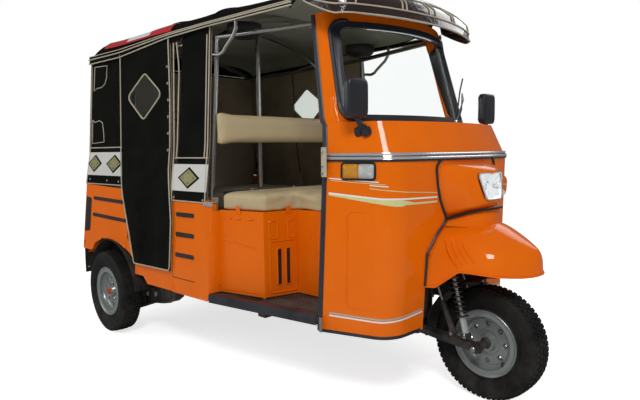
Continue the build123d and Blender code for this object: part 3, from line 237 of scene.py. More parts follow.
paint_ripple = ripple(130.0)
orange = material("orange_gloss", (0.89, 0.163, 0.0008), 0.25, paint_ripple, 0.0004, dirt=0.05, vary=0.03,
                  Coat_Weight=0.55, Coat_Roughness=0.02, Specular_IOR_Level=0.03)
black_paint = material("black_enamel", (0.012, 0.012, 0.013), 0.38, paint_ripple, 0.0006,
                       dirt=0.35, Coat_Weight=0.3)
canvas = material("black_canvas", (0.0045, 0.0048, 0.0034), 0.85, cloth(0.0022, 0.002), 0.00035, dirt=0.02,
                  clean=1.2, vary=0.25, Specular_IOR_Level=0.08)
headlining = material("olive_lining", (0.262, 0.280, 0.205), 0.85, cloth(0.003, 0.002), 0.0003, dirt=0.1,
                      Sheen_Weight=0.2)
cream = material("cream_piping", (0.50, 0.45, 0.34), 0.5, cloth(0.0016, 0.001), 0.0002, dirt=0.25,
                 Sheen_Weight=0.1)
beige = material("beige_vinyl", (0.54, 0.44, 0.25), 0.42, pebbles(420.0), 0.0005, dirt=0.12, vary=0.05,
                 Coat_Weight=0.12, Coat_Roughness=0.3)
# The bench's vinyl is the beige vinyl painted darker: a painted shade for the seat inside the cab.
shaded_beige = material("beige_vinyl_painted_shade", (0.30, 0.25, 0.18), 0.5, pebbles(380.0), 0.0005, dirt=0.15, vary=0.08)
maroon = material("maroon_vinyl", (0.022, 0.007, 0.007), 0.16, pebbles(90.0), 0.0016, dirt=0.05, vary=0.25,
                  Coat_Weight=0.9, Coat_Roughness=0.08)
rubber = material("navy_rubber", (0.020, 0.024, 0.034), 0.42, ripple(260.0, 0.2), 0.0004, dirt=0.12, vary=0.1)
plastic = material("moulded_black", (0.018, 0.020, 0.026), 0.34, pebbles(900.0), 0.0002, dirt=0.08, vary=0.08,
                   Coat_Weight=0.15)
tyre_rubber = material("tyre_rubber", (0.0085, 0.0095, 0.0095), 0.60, ripple(300.0), 0.0006, dirt=0.10,
                       clean=0.5, vary=0.15, patches=12.0, Specular_IOR_Level=0.2)
silver = material("wheel_silver", (0.33, 0.37, 0.365), 0.30, paint_ripple, 0.0005, dirt=0.25, clean=0.5,
                  vary=0.06, Metallic=0.55, Coat_Weight=0.2)
chrome = material("chrome_strip", (0.78, 0.79, 0.80), 0.15, ripple(60.0, 0.2), 0.0005, dirt=0.05,
                  vary=0.04, Metallic=0.72)
tube_steel = material("bright_tube", (0.52, 0.52, 0.50), 0.24, ripple(180.0, 0.1), 0.0004, dirt=0.15,
                      vary=0.06, Metallic=1.0)
cast = material("cast_metal", (0.16, 0.16, 0.165), 0.6, ripple(420.0), 0.0012, dirt=0.4, Metallic=0.7)
mat_rubber = material("maroon_mat", (0.022, 0.009, 0.009), 0.6, ripple(200.0), 0.0008, dirt=0.4, vary=0.15)
amber = material("amber_lens", (0.62, 0.26, 0.006), 0.14, ripple(40.0, 9.0), 0.002, dirt=0.03,
                 vary=0.03, Coat_Weight=1.0)
clear_lens = material("clear_lens", (0.66, 0.68, 0.68), 0.10, ripple(45.0, 9.0), 0.002, dirt=0.03, vary=0.08,
                      Metallic=0.35, Coat_Weight=1.0)
red_lens = material("red_lens", (0.42, 0.008, 0.006), 0.14, ripple(40.0, 9.0), 0.002, dirt=0.05,
                    vary=0.03, Coat_Weight=1.0)
white_belt = material("white_belt", (0.68, 0.68, 0.64), 0.45, pebbles(500.0), 0.0003, dirt=0.18, vary=0.04)
gold = material("gold_patch", (0.30, 0.29, 0.13), 0.38, pebbles(380.0), 0.0004, dirt=0.10,
                vary=0.12, Metallic=0.25)
hub_red = material("hub_red", (0.55, 0.06, 0.01), 0.5, paint_ripple, 0.0006, dirt=0.3, vary=0.1)
red_tape = material("red_tape", (0.55, 0.012, 0.018), 0.35, pebbles(400.0), 0.0002, dirt=0.05)
stripe_white = material("stripe_white", (0.92, 0.90, 0.84), 0.3, paint_ripple, 0.0002, dirt=0.05,
                        vary=0.03, Coat_Weight=0.5)
stripe_gold = material("stripe_gold", (0.72, 0.70, 0.30), 0.3, paint_ripple, 0.0002, dirt=0.05,
                       vary=0.05, Coat_Weight=0.5)
slot_black = material("slot_black", (0.008, 0.008, 0.009), 0.5, pebbles(700.0), 0.0002, dirt=0.2)
exhaust_steel = material("exhaust_steel", (0.10, 0.09, 0.085), 0.55, ripple(120.0), 0.0008,
                         dirt=0.4, Metallic=0.8)


def clear_sheet(name, colour, roughness, transmission, wave):
    """Window glass or clear vinyl: light passes, and a low wide ripple bends what shows through."""
    made = material(name, colour, roughness, ripple(12.0), wave, dirt=0.02, vary=0.01)
    shader = made.node_tree.nodes["Principled BSDF"]
    shader.inputs["Transmission Weight"].default_value = transmission
    shader.inputs["IOR"].default_value = 1.02
    return made


glass = clear_sheet("window_glass", (0.93, 0.96, 0.95), 0.0, 1.0, 0.0)
clear_vinyl = clear_sheet("clear_vinyl", (0.62, 0.66, 0.62), 0.03, 0.98, 0.0006)
smoked_vinyl = clear_sheet("smoked_vinyl", (0.05, 0.055, 0.052), 0.15, 0.35, 0.0006)
print("finishes:", len(bpy.data.materials))

# %% [markdown]
# ## Shapes in code
# Most pieces are built from four forms: a grid of points, a tube along a line, a turned profile and a block.
# `Shape` collects them in one bmesh and turns the result into an object that rides on a body.

# %% Shape
LEFTWARD, RIGHTWARD, BACKWARD, FORWARD, UPWARD = (0, 1, 0), (0, -1, 0), (-1, 0, 0), (1, 0, 0), (0, 0, 1)


class Shape:
    """A mesh under construction."""

    def __init__(self):
        self.bm = bmesh.new()

    def grid(self, rows, around=False, ends=False):
        """Quads between rows of points; around joins each row's ends, ends closes the first and last row."""
        lines = [[self.bm.verts.new(point) for point in row] for row in rows]
        for near, far in zip(lines, lines[1:]):
            count = len(near)
            for i in range(count if around else count - 1):
                j = (i + 1) % count
                self.bm.faces.new((near[i], near[j], far[j], far[i]))
        if ends:
            self.bm.faces.new(lines[0][::-1])
            self.bm.faces.new(lines[-1])
        return self

    def tube(self, points, radius, sides=8, closed=False, squash=1.0):
        """A round bar along a line of points, its ring carried along without twisting."""
        points = [Vector(point) for point in points]
        count = len(points)
        radii = radius if isinstance(radius, (list, tuple)) else [radius] * count
        rows, across = [], None
        for i, point in enumerate(points):
            ahead = points[(i + 1) % count] if closed or i < count - 1 else point
            behind = points[i - 1] if closed or i else point
            along = (ahead - behind).normalized()
            if across is None:
                across = along.orthogonal().normalized()
            across = (across - along * across.dot(along)).normalized()
            other = along.cross(across)
            rows.append([point + radii[i] * (cos(2 * pi * k / sides) * across
                                             + squash * sin(2 * pi * k / sides) * other)
                         for k in range(sides)])
        if closed:
            rows.append(rows[0])
        self.grid(rows, around=True, ends=not closed)
        return self

    def turned(self, profile, centre, steps=48, axis=LEFTWARD, closed=True):
        """A profile of (radius, distance along the axis) turned round an axis."""
        centre, axis = Vector(centre), Vector(axis).normalized()
        across = axis.orthogonal().normalized()
        other = axis.cross(across)
        ring = profile + [profile[0]] if closed else profile
        rows = [[centre + axis * along + max(radius, 1e-5) * (cos(2 * pi * k / steps) * across
                 + sin(2 * pi * k / steps) * other) for k in range(steps)] for radius, along in ring]
        return self.grid(rows, around=True)

    def knob(self, profile, centre, steps, axis=LEFTWARD):
        """A turned profile that starts and ends on the axis."""
        return self.turned(profile, centre, steps, axis, closed=False)

    def block(self, centre, size, turn=None, bevel=0.0):
        """A box with softened edges."""
        made = bmesh.ops.create_cube(self.bm, size=1.0)["verts"]
        matrix = Matrix.Translation(centre) @ (turn.to_matrix().to_4x4() if turn else Matrix.Identity(4))
        bmesh.ops.transform(self.bm, matrix=matrix @ Matrix.Diagonal((*size, 1)), verts=made)
        if bevel:
            edges = list(dict.fromkeys(edge for vert in made for edge in vert.link_edges))
            bmesh.ops.bevel(self.bm, geom=edges, offset=bevel, segments=2, affect="EDGES", profile=0.6)
        return self

    def plate(self, outline, thickness):
        """A flat or gently curved outline given a thickness (a vector)."""
        near = [self.bm.verts.new(point) for point in outline]
        far = [self.bm.verts.new(Vector(point) + Vector(thickness)) for point in outline]
        self.bm.faces.new(near[::-1])
        self.bm.faces.new(far)
        for i in range(len(near)):
            j = (i + 1) % len(near)
            self.bm.faces.new((near[i], near[j], far[j], far[i]))
        return self

    def both_sides(self):
        """Add a mirrored copy on the vehicle's other side."""
        copies = bmesh.ops.duplicate(self.bm, geom=list(self.bm.faces) + list(self.bm.edges)
                                     + list(self.bm.verts))
        verts = [item for item in copies["geom"] if isinstance(item, bmesh.types.BMVert)]
        for vert in verts:
            vert.co.y = -vert.co.y
        bmesh.ops.reverse_faces(self.bm, faces=[f for f in copies["geom"]
                                                if isinstance(f, bmesh.types.BMFace)])
        return self

    def piece(self, name, finish, slot, body="body", smooth=35, modifiers=(), replaces=(), stand=None):
        """Turn the mesh into a finished object on a body; stand is the way an open sheet's faces look."""
        bmesh.ops.remove_doubles(self.bm, verts=self.bm.verts, dist=1e-6)
        bmesh.ops.recalc_face_normals(self.bm, faces=self.bm.faces)
        if stand is not None:
            face = max(self.bm.faces, key=lambda f: f.calc_area())
            if face.normal.dot(Vector(stand)) < 0:
                bmesh.ops.reverse_faces(self.bm, faces=self.bm.faces)
        mesh = bpy.data.meshes.new(name)
        self.bm.to_mesh(mesh)
        self.bm.free()
        made = bpy.data.objects.new(name, mesh)
        bpy.context.scene.collection.objects.link(made)
        for kind, settings in modifiers:
            modifier = made.modifiers.new(kind.lower(), kind)
            for key, value in settings.items():
                setattr(modifier, key, value)
        return dress(made, finish, body, smooth, replaces)


def settle(made):
    """Apply an object's modifiers, so that a plain mesh is left."""
    mesh = bpy.data.meshes.new_from_object(made.evaluated_get(bpy.context.evaluated_depsgraph_get()))
    made.modifiers.clear()
    made.data = mesh
    return made


def dress(made, finish, body="body", smooth=35, replaces=()):
    """Settle a new object, give it its finish and let it ride on a body."""
    if made.modifiers:
        settle(made)
    made.data.materials.clear()
    made.data.materials.append(finish)
    made.data.polygons.foreach_set("use_smooth", [True] * len(made.data.polygons))
    made.data.set_sharp_from_angle(angle=radians(smooth))
    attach(made, body)
    if replaces:
        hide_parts(*replaces)
    return made


def solid(wall, offset=0):
    """A modifier that gives a sheet its thickness, by default half of it on each side."""
    return "SOLIDIFY", {"thickness": wall, "offset": offset}


def subdivide(levels):
    """A modifier that rounds a mesh."""
    return "SUBSURF", {"levels": levels, "render_levels": levels}


print("shape helpers ready")

# %% [markdown]
# ## Finding the steel
# Trim follows the panel it is stuck to. A ray shot at the CAD mesh tells where the panel's face is, so a
# stripe, a slot or a moulding lies on it wherever it goes.

# %% Rays on the CAD
def face_finder(*names):
    """A search tree over the faces of some CAD nodes."""
    verts, polygons = [], []
    for name in names:
        mesh = nodes[name].data
        polygons += [[index + len(verts) for index in polygon.vertices] for polygon in mesh.polygons]
        verts += [vertex.co.copy() for vertex in mesh.vertices]
    return BVHTree.FromPolygons(verts, polygons)


def hit(finder, start, end, proud=0.0):
    """Where a line from start to end first meets the faces, moved out of them a little."""
    start, end = Vector(start), Vector(end)
    place, normal, _, _ = finder.ray_cast(start, (end - start).normalized(), (end - start).length)
    if place is None:
        return None
    if normal.dot(end - start) > 0:
        normal = -normal
    return place + normal * proud


RAY_START, RIGHT_OF_ALL, AHEAD_OF_ALL = 1.2, -0.9, 1.3


def inwards(finder, core_x, angle, z, proud=0.0):
    """A point found from outside towards an upright line; angle 0 is the nose and 90 the left side."""
    core = Vector((core_x, 0, z))
    out = Vector((cos(radians(angle)), sin(radians(angle)), 0))
    return hit(finder, core + out * RAY_START, core, proud)


def from_right(finder, x, z, proud=0.0):
    """A point found by a level ray from the vehicle's right."""
    return hit(finder, (x, RIGHT_OF_ALL, z), (x, 0, z), proud)


cowl = face_finder("cowl_shell")
COWL_CORE_X = 0.62


def on_cowl(angle, z, proud):
    """A point on the cowl's outer face."""
    return inwards(cowl, COWL_CORE_X, angle, z, proud)


def cowl_line(low, high, z, proud, count):
    """Points round the cowl between two angles."""
    return [point for point in (on_cowl(angle, z, proud) for angle in steps(low, high, count)) if point]


SIDE_LEVELS = [(0.300, 0.730, 0.662), (0.450, 0.725, 0.655), (0.850, 0.685, 0.618), (1.070, 0.648, 0.588),
               (1.640, 0.610, 0.545)]
TAIL_X, JAMB_X = -1.300, -0.010


def side_y(x, z, hand, proud=0.0):
    """The body side's outer face at a place and a height; hand is -1 for the right and 1 for the left."""
    share = (x - TAIL_X) / (JAMB_X - TAIL_X)
    low, high = next(((a, b) for a, b in zip(SIDE_LEVELS, SIDE_LEVELS[1:]) if z <= b[0]), SIDE_LEVELS[-2:])
    rise = (z - low[0]) / (high[0] - low[0])
    tail = low[1] + rise * (high[1] - low[1])
    jamb = low[2] + rise * (high[2] - low[2])
    return hand * (tail + share * (jamb - tail) + proud)


def on_side(x, z, hand, proud=0.0):
    """A point on the body side's outer face."""
    return Vector((x, side_y(x, z, hand, proud), z))


def on_right(x, z, proud=0.0):
    """A point on the right side's outer face."""
    return on_side(x, z, -1, proud)


def between(table, place):
    """Straight interpolation in a table of (place, value ...) rows; beyond its ends the end rows hold."""
    place = min(max(place, table[0][0]), table[-1][0])
    for low, high in zip(table, table[1:]):
        if place <= high[0]:
            share = (place - low[0]) / (high[0] - low[0])
            values = [a + share * (b - a) for a, b in zip(low[1:], high[1:])]
            return values[0] if len(values) == 1 else values


def steps(low, high, count):
    """Evenly spaced values from low to high, both included."""
    return [low + (high - low) * i / count for i in range(count + 1)]


def corners(x_low, x_high, z_low, z_high):
    """The four corners of an upright rectangle."""
    return [(x_low, z_low), (x_high, z_low), (x_high, z_high), (x_low, z_high)]


def rounded(outline, radius, segments=5):
    """A closed 2-D outline with its corners rounded off."""
    made, count = [], len(outline)
    for i in range(count):
        before, here, after = (Vector(outline[(i + k) % count]) for k in (-1, 0, 1))
        into, out = (before - here).normalized(), (after - here).normalized()
        reach = min(radius / tan(into.angle(out) / 2),
                    0.45 * min((before - here).length, (after - here).length))
        first, last = here + into * reach, here + out * reach
        for step in range(segments + 1):
            t = step / segments
            made.append((1 - t) ** 2 * first + 2 * t * (1 - t) * here + t * t * last)
    return made


print("cowl's nose at", on_cowl(0, 0.7, 0))

# %% [markdown]
# ## Finishes of the CAD pieces
# A CAD piece whose shape is already right keeps its mesh and gets a finish.

# %% CAD finishes
CAD_FINISHES = {orange: ["cowl_shell", "windscreen_frame", "side_panel_right", "side_panel_left",
                         "rear_panel", "engine_lid", "seat_box"],
                black_paint: ["chassis_frame", "steering_neck", "wheel_well", "bench_base", "swing_arms",
                              "front_fork"], mat_rubber: ["floor_pan"], chrome: ["belt_moulding"],
                rubber: ["windscreen_seal", "mudflaps"], glass: ["windscreen_glass"],
                tube_steel: ["canopy_frame"], smoked_vinyl: ["rear_window"], clear_vinyl: ["flap_windows"],
                red_lens: ["tail_lamps"], amber: ["indicators"], cast: ["engine_block"],
                plastic: ["dashboard", "handlebar"], silver: ["front_rim", "rear_rim_right",
                                                              "rear_rim_left"],}
for finish, names in CAD_FINISHES.items():
    for name in names:
        slots = nodes[name].data.materials
        slots.clear()
        slots.append(finish)
print("finished CAD pieces:", sum(map(len, CAD_FINISHES.values())))

# %% [markdown]
# ## The roof
# The canopy is one sheet of coated canvas over the hoops of its frame. Its cross-section is a superellipse:
# nearly flat on top, then quickly down to the eave. It dips between the hoops, and closes at the tail.

# %% Roof canvas
#                 x, half width, eave, crown
ROOF_LEVELS = [(-1.304, 0.622, 1.600, 1.742), (-1.130, 0.616, 1.600, 1.750), (-0.075, 0.562, 1.600, 1.756),
               (0.440, 0.505, 1.612, 1.742)]
HOOPS = (-1.24, -0.47, -0.076, 0.43)
ROOF_ROUNDING = 0.17


def roof_point(x, share, lift=0.0):
    """A point on the roof; share runs from -1 at the right eave to 1 at the left one."""
    half, eave, crown = between(ROOF_LEVELS, x)
    behind = min(1.0, (x - TAIL_X + 0.004) / ROOF_ROUNDING)
    crown = eave + (crown - eave) * sqrt(max(0.0, 1 - (1 - behind) ** 2.4)) + 0.004
    angle = share * pi / 2
    y = half * (1 if share > 0 else -1) * abs(sin(angle)) ** 0.62
    z = eave + (crown - eave) * abs(cos(angle)) ** 0.62
    gap = next(((a, b) for a, b in zip(HOOPS, HOOPS[1:]) if a <= x <= b), None)
    if gap:
        z -= 0.007 * sin(pi * (x - gap[0]) / (gap[1] - gap[0])) * max(0.0, cos(angle)) ** 0.5
    wrinkle = noise.noise(Vector((x * 5, y * 3, 1.7))) + 0.5 * noise.noise(Vector((x * 13, y * 6, 4.1)))
    return Vector((x, y, z - 0.0015 + 0.002 * wrinkle + lift))


stations = [TAIL_X - 0.004 + ROOF_ROUNDING * (1 - cos(pi / 2 * i / 8)) for i in range(8)]
stations += steps(-1.134, 0.44, 46)
shares = [s / 24 for s in range(-24, 25)]


def open_share(x):
    """How far down the roof reaches: over the door opening it stops higher, at the rising eave."""
    return between([(-0.35, 1.0), (-0.12, 0.925), (0.25, 0.925), (0.44, 0.850)], x)


roof_rows = [[roof_point(x, share * open_share(x)) for share in shares] for x in stations]


def sheet_area(rows):
    """The area of a grid of points."""
    total = 0.0
    for near, far in zip(rows, rows[1:]):
        for a, b, c, d in zip(near, near[1:], far[1:], far):
            total += ((b - a).cross(c - a).length + (c - a).cross(d - a).length) / 2
    return total


def declare(rows):
    """Work out a sheet's widest row and its longest run across the rows; the result is not kept or shown."""
    width = max(sum((b - a).length for a, b in zip(row, row[1:])) for row in rows)
    length = max(sum((b[i] - a[i]).length for a, b in zip(rows, rows[1:])) for i in range(0, len(rows[0]), 4))
    width, length = max(width, 0.02), max(length, 0.02)


roof = Shape().grid(roof_rows).piece("roof_canvas", canvas, "black_canvas", modifiers=[solid(0.003)],
                                     replaces=["canopy_roof"], smooth=60)
declare(roof_rows)
lining_rows = [[roof_point(x, share * 0.93 * open_share(x), -0.012) for share in shares]
               for x in steps(-1.27, 0.43, 30)]
lining = Shape().grid(lining_rows).piece("roof_lining", headlining, "black_canvas", modifiers=[solid(0.002)],
                                         smooth=60)
declare(lining_rows)

# %% [markdown]
# ## Piping
# Cream piping is a cord sewn into every edge of the canvas. A tube follows the edge's own points.

# %% Eave and roof piping
PIPING = 0.0034


def piping(name, lines, radius=PIPING, finish=cream, slot="cream_piping", mirrored=True):
    """A thin cord along each line, as one piece."""
    shape = Shape()
    for line in lines:
        shape.tube(line, radius, 6)
    if mirrored:
        shape.both_sides()
    return shape.piece(name, finish, slot)


def fasteners(name, profile, places, sides, axis, finish, slot, mirrored=True):
    """Small turned fittings, one at each place, as one piece."""
    shape = Shape()
    for place in places:
        shape.knob(profile, place, sides, axis)
    if mirrored:
        shape.both_sides()
    return shape.piece(name, finish, slot)


EAVE_RISE = [(-1.303, 0.0), (-0.930, 0.0), (-0.430, 0.040), (-0.090, 0.046), (0.425, 0.044)]


def eave_line(z, proud, rise=1.0, low=-1.303, high=0.478):
    """A line along the right eave, just outside the canvas; rise is its share of the eave's forward rise."""
    return [Vector((x, min(side_y(x, z, -1, proud), -between(ROOF_LEVELS, x)[0] - 0.004),
                    z + rise * between(EAVE_RISE, x))) for x in steps(low, high, 40)]


valance_rows = [eave_line(z, 0.020 - 0.004 * sin(k * pi / 4), 1 - 0.13 * k)
                for k, z in enumerate(steps(1.588, 1.628, 4))]
for hand, label in ((1, "right"), (-1, "left")):
    rows = [[Vector((p.x, p.y * hand, p.z)) for p in row] for row in valance_rows]
    strip = Shape().grid(rows).piece(f"eave_band_{label}", canvas, "black_canvas", modifiers=[solid(0.002)])
    declare(rows)
piping("eave_piping", [eave_line(1.586, 0.020), eave_line(1.630, 0.018, 0.48), eave_line(1.611, 0.024, 0.70)])
tail_eave = [Vector((TAIL_X - 0.006, y, 1.604)) for y in steps(-0.617, 0.617, 20)]
piping("tail_eave_piping", [tail_eave], mirrored=False)
seam_lines = [[roof_point(x, s / 30, 0.004) for s in range(-29, 30)] for x in HOOPS[1:3]]
piping("roof_seams", seam_lines, 0.0025, canvas, "black_canvas", mirrored=False)

# %% [markdown]
# ## Side canvas
# Each curtain hangs from the eave and is snapped to the steel. It is a sheet between two edge curves, with
# soft upright folds. The rear quarter and the panel before the bench carry a white belt with gold diamonds.

# %% Side curtains
def curtain_rows(back, front, top, foot, hand, proud, folds=0.0015, count=(14, 26)):
    """Rows from the foot up; back and front are tables of (z, x)."""
    rows = []
    for z in steps(foot, top, count[1]):
        x_low, x_high = between(back, z), between(front, z)
        rise = (z - foot) / (top - foot)
        rows.append([on_side(x, z + rise * between(EAVE_RISE, x), hand,
                             proud + folds * (noise.noise(Vector((x * 11, z * 2.2, 3.0 + hand)))
                                              + 0.4 * noise.noise(Vector((x * 23, z * 5, 9.0)))))
                     for x in steps(x_low, x_high, count[0])])
    return rows


REAR_QUARTER = dict(back=[(0.85, -1.299), (1.6, -1.299)], front=[(0.85, -0.78), (1.6, -0.78)], top=1.599,
                    foot=0.852)
FRONT_QUARTER = dict(back=[(0.79, -0.325), (1.6, -0.325)],
                     front=[(0.79, -0.060), (1.0, -0.072), (1.6, -0.088)], top=1.599, foot=0.796)
DOOR_FLAP = dict(back=[(0.434, -0.661), (0.656, -0.757), (0.81, -0.824), (1.04, -0.885), (1.6, -0.925)],
                 front=[(0.442, -0.315), (0.69, -0.324), (0.84, -0.352), (0.95, -0.376), (1.32, -0.396),
                        (1.6, -0.428)], top=1.605, foot=0.438)
for hand, label in ((-1, "right"), (1, "left")):
    for name, cut in (("rear_quarter", REAR_QUARTER), ("front_quarter", FRONT_QUARTER)):
        rows = curtain_rows(hand=hand, proud=0.0, **cut)
        made = Shape().grid(rows).piece(f"{name}_canvas_{label}", canvas, "black_canvas",
                                        modifiers=[solid(0.003)], replaces=[f"{name}_{label}"])
        declare(rows)


# %% Door flap with its diamond window
WINDOW_CORNERS = [(-0.651, 1.469), (-0.474, 1.345), (-0.651, 1.215), (-0.832, 1.349)]


SAME_POINT, SNAP_REACH, WINDOW_ROUNDING = 1e-6, 0.035, 0.035


def window_outline(hand, proud, grow=0.0):
    """The diamond window's rounded outline on the body side."""
    centre = sum((Vector(c) for c in WINDOW_CORNERS), Vector((0, 0))) / 4
    grown = [Vector(c) + (Vector(c) - centre).normalized() * grow for c in WINDOW_CORNERS]
    return [on_side(p.x, p.y, hand, proud) for p in rounded(grown, WINDOW_ROUNDING, 6)]


def cut_window(shape, hand, proud):
    """Cut the diamond opening and move its edge onto the window's outline; returns the count of faces cut."""
    outline = [Vector((p.x, p.z)) for p in window_outline(hand, 0)]
    edges = list(zip(outline, outline[1:] + outline[:1]))
    middles = [(face, face.calc_center_median()) for face in shape.bm.faces]
    inside = [face for face, middle in middles
              if all((b - a).cross(Vector((middle.x, middle.z)) - a) < 0 for a, b in edges)]
    cut = len(inside)
    bmesh.ops.delete(shape.bm, geom=inside, context="FACES")
    for vert in shape.bm.verts:
        if vert.is_boundary:
            here = Vector((vert.co.x, vert.co.z))
            spots = []
            for a, b in edges:
                if (b - a).length > SAME_POINT:
                    share = geometry.intersect_point_line(here, a, b)[1]
                    spots.append(a.lerp(b, min(max(share, 0.0), 1.0)))
            nearest = min(spots, key=lambda spot: (spot - here).length)
            if (nearest - here).length < SNAP_REACH:
                vert.co = on_side(nearest.x, nearest.y, hand, proud)
    return cut


FLAP_GRID, FLAP_PROUD, FLAP_LINING_PROUD = (20, 56), 0.012, 0.006
for hand, label in ((-1, "right"), (1, "left")):
    rows = curtain_rows(hand=hand, proud=FLAP_PROUD, folds=0.0035, count=FLAP_GRID, **DOOR_FLAP)
    shape = Shape().grid(rows)
    cut_faces = cut_window(shape, hand, FLAP_PROUD)
    made = shape.piece(f"door_flap_canvas_{label}", canvas, "black_canvas", modifiers=[solid(0.003)],
                       replaces=[f"door_flap_{label}"])
    cut = sheet_area(rows)
flap_edges = [[on_right(x, z, 0.017) for z, x in [(z, between(DOOR_FLAP["front"], z))
                                                  for z in steps(1.638, 0.46, 31)] + [(0.441, -0.325)]
               + [(z, between(DOOR_FLAP["back"], z)) for z in steps(0.437, 1.6, 34)]]]
piping("flap_piping", flap_edges)
window_ring = window_outline(-1, 0.016)
piping("window_piping", [window_ring + window_ring[:1]], 0.004)
pane_edge = window_outline(-1, FLAP_PROUD, grow=0.004)
pane_rows = [pane_edge, [on_right(-0.652, 1.344, 0.013)] * len(pane_edge)]
window_sheets = Shape().grid(pane_rows, around=True).both_sides()
window_sheets.piece("flap_window_sheets", clear_vinyl, "clear_vinyl", modifiers=[solid(0.0012)],
                    replaces=["flap_windows"])
lining_brown = material("brown_lining", (0.365, 0.300, 0.205), 0.85, cloth(0.003, 0.002), 0.0003, dirt=0.1,
                        vary=0.3, patches=3.0, Sheen_Weight=0.1)
for hand, label in ((-1, "right"), (1, "left")):
    for name, cut in (("rear_quarter", REAR_QUARTER), ("front_quarter", FRONT_QUARTER),
                      ("door_flap", DOOR_FLAP)):
        flap = name == "door_flap"
        rows = curtain_rows(hand=hand, proud=FLAP_LINING_PROUD if flap else -0.006,
                            count=FLAP_GRID if flap else (8, 16), **{**cut, "top": 1.590})
        shape = Shape().grid(rows)
        if flap:
            cut_window(shape, hand, FLAP_LINING_PROUD)
        made = shape.piece(f"{name}_lining_{label}", lining_brown, "black_canvas", modifiers=[solid(0.0015)])
        declare(rows)
print("flaps hung")

# %% Curtain piping, belts and diamonds
quarter_lines = []
for x_low, x_high, z in ((-1.299, -0.895, 1.071), (-1.299, -0.845, 0.853), (-0.345, -0.067, 1.010),
                         (-0.34, -0.055, 0.796)):
    quarter_lines.append([on_right(x, z, 0.004) for x in steps(x_low, x_high, 12)])
FRONT_EDGE = FRONT_QUARTER["front"]
HEM, FLAP_SEAM = [(1.01, -0.334), (1.46, -0.340), (1.6, -0.372)], [(0.8, -0.345),
                                                                   (1.01, -0.358), (1.6, -0.398)]
quarter_lines += [[on_right(between(HEM, z), z, 0.004) for z in steps(1.01, 1.64, 16)],
                  [on_right(between(FRONT_EDGE, z) - 0.004, z, 0.004) for z in steps(0.797, 1.645, 20)],
                  [on_right(between(FRONT_EDGE, z) - 0.026, z, 0.003) for z in steps(1.01, 1.6, 16)],
                  [on_right(between(FLAP_SEAM, z), z, 0.005) for z in steps(0.8, 1.6, 20)],
                  [on_right(-1.296, z, 0.004) for z in steps(0.853, 1.6, 20)]]
piping("curtain_piping", quarter_lines)
BADGES = [[(-1.262, 1.566), (-1.105, 1.560), (-1.108, 1.490), (-1.125, 1.455), (-1.168, 1.436),
           (-1.224, 1.434), (-1.266, 1.421), (-1.262, 1.566)],
          [(-1.277, 1.242), (-1.244, 1.227), (-1.190, 1.236), (-1.150, 1.222), (-1.134, 1.180),
           (-1.123, 1.105), (-1.275, 1.098), (-1.277, 1.242)]]
piping("quarter_outlines", [[on_right(x, z, 0.003) for x, z in badge] for badge in BADGES], 0.0026)
BELTS = [(-1.298, -0.855, 0.905, 1.043), (-0.350, -0.060, 0.846, 0.979)]
DIAMOND_SHAPE = [(0, 1), (0.5, 0.5), (1, 0), (0.5, -0.5), (0, -1), (-0.5, -0.5), (-1, 0), (-0.5, 0.5)]
DIAMONDS = [(-1.212, 0.976, 0.088, 0.053), (-0.972, 0.975, 0.094, 0.054), (-0.210, 0.912, 0.090, 0.053)]
belts, patches, borders, dots = Shape(), Shape(), Shape(), Shape()
for x_low, x_high, z_low, z_high in BELTS:
    belts.grid([[on_right(x, z, 0.0035) for x in steps(x_low, x_high, 14)] for z in steps(z_low, z_high, 5)])
for x, z, wide, tall in DIAMONDS:
    for shape, scale, proud in ((borders, 1.0, 0.0065), (patches, 0.80, 0.0085)):
        shape.plate([on_right(x + wide * scale * a, z + tall * scale * b, proud) for a, b in DIAMOND_SHAPE],
                    (0, 0.003, 0))
    for a, b in ((0, 0.48), (0.48, 0), (0, -0.48), (-0.48, 0)):
        dots.knob([(0.0, 0.0), (0.0042, 0.0), (0.0036, 0.0014), (0.0, 0.0018)],
                  on_right(x + wide * a, z + tall * b, 0.0085), 10, RIGHTWARD)
belts.both_sides().piece("belt_bands", white_belt, "white_belt", modifiers=[solid(0.002)])
borders.both_sides().piece("diamond_borders", canvas, "black_canvas")
patches.both_sides().piece("diamond_patches", gold, "white_belt")
dots.both_sides().piece("diamond_studs", slot_black, "black_plastic")
STUD_PLACES = [(-1.255, 0.880), (-1.037, 0.876), (-0.90, 0.873), (-0.327, 0.812), (-0.082, 0.808)]
fasteners("snap_studs", [(0.0, 0.0), (0.0062, 0.0), (0.0062, 0.002), (0.004, 0.004), (0.0, 0.0045)],
          [on_right(x, z, 0.003) for x, z in STUD_PLACES], 14, RIGHTWARD, chrome, "chrome_trim")
print("side canvas done")

# %% [markdown]
# ## The sun visor
# A padded vinyl visor is stretched over a light frame above the windscreen and comes back along both sides to
# the doors. Cream piping divides it into bands and panels. Rays on its CAD solid give the points.

# %% Visor
visor_solid = face_finder("front_visor")
VISOR_CORE_X, VISOR_REACH = 0.47, 86
VISOR_FOOT, VISOR_MIDDLE, VISOR_TOP, VISOR_LIMIT = 1.5715, 1.63, 1.698, 1.6985
VISOR_SWEEP_X = 0.665


def visor_foot(x):
    """Height of the visor's lower edge: level in front, swept up towards the doors."""
    return VISOR_FOOT + 0.62 * (VISOR_SWEEP_X - x) ** 1.15 if x < VISOR_SWEEP_X else VISOR_FOOT


def visor_point(angle, share, proud=0.0):
    """A point on the visor; share runs from its lower edge, 0, to its top, 1."""
    z = VISOR_MIDDLE
    for _ in range(3):
        foot = visor_foot(inwards(visor_solid, VISOR_CORE_X, angle, z).x)
        z = min(VISOR_LIMIT, max(VISOR_FOOT, foot + share * (VISOR_TOP - foot)))
    return inwards(visor_solid, VISOR_CORE_X, angle, z, proud)


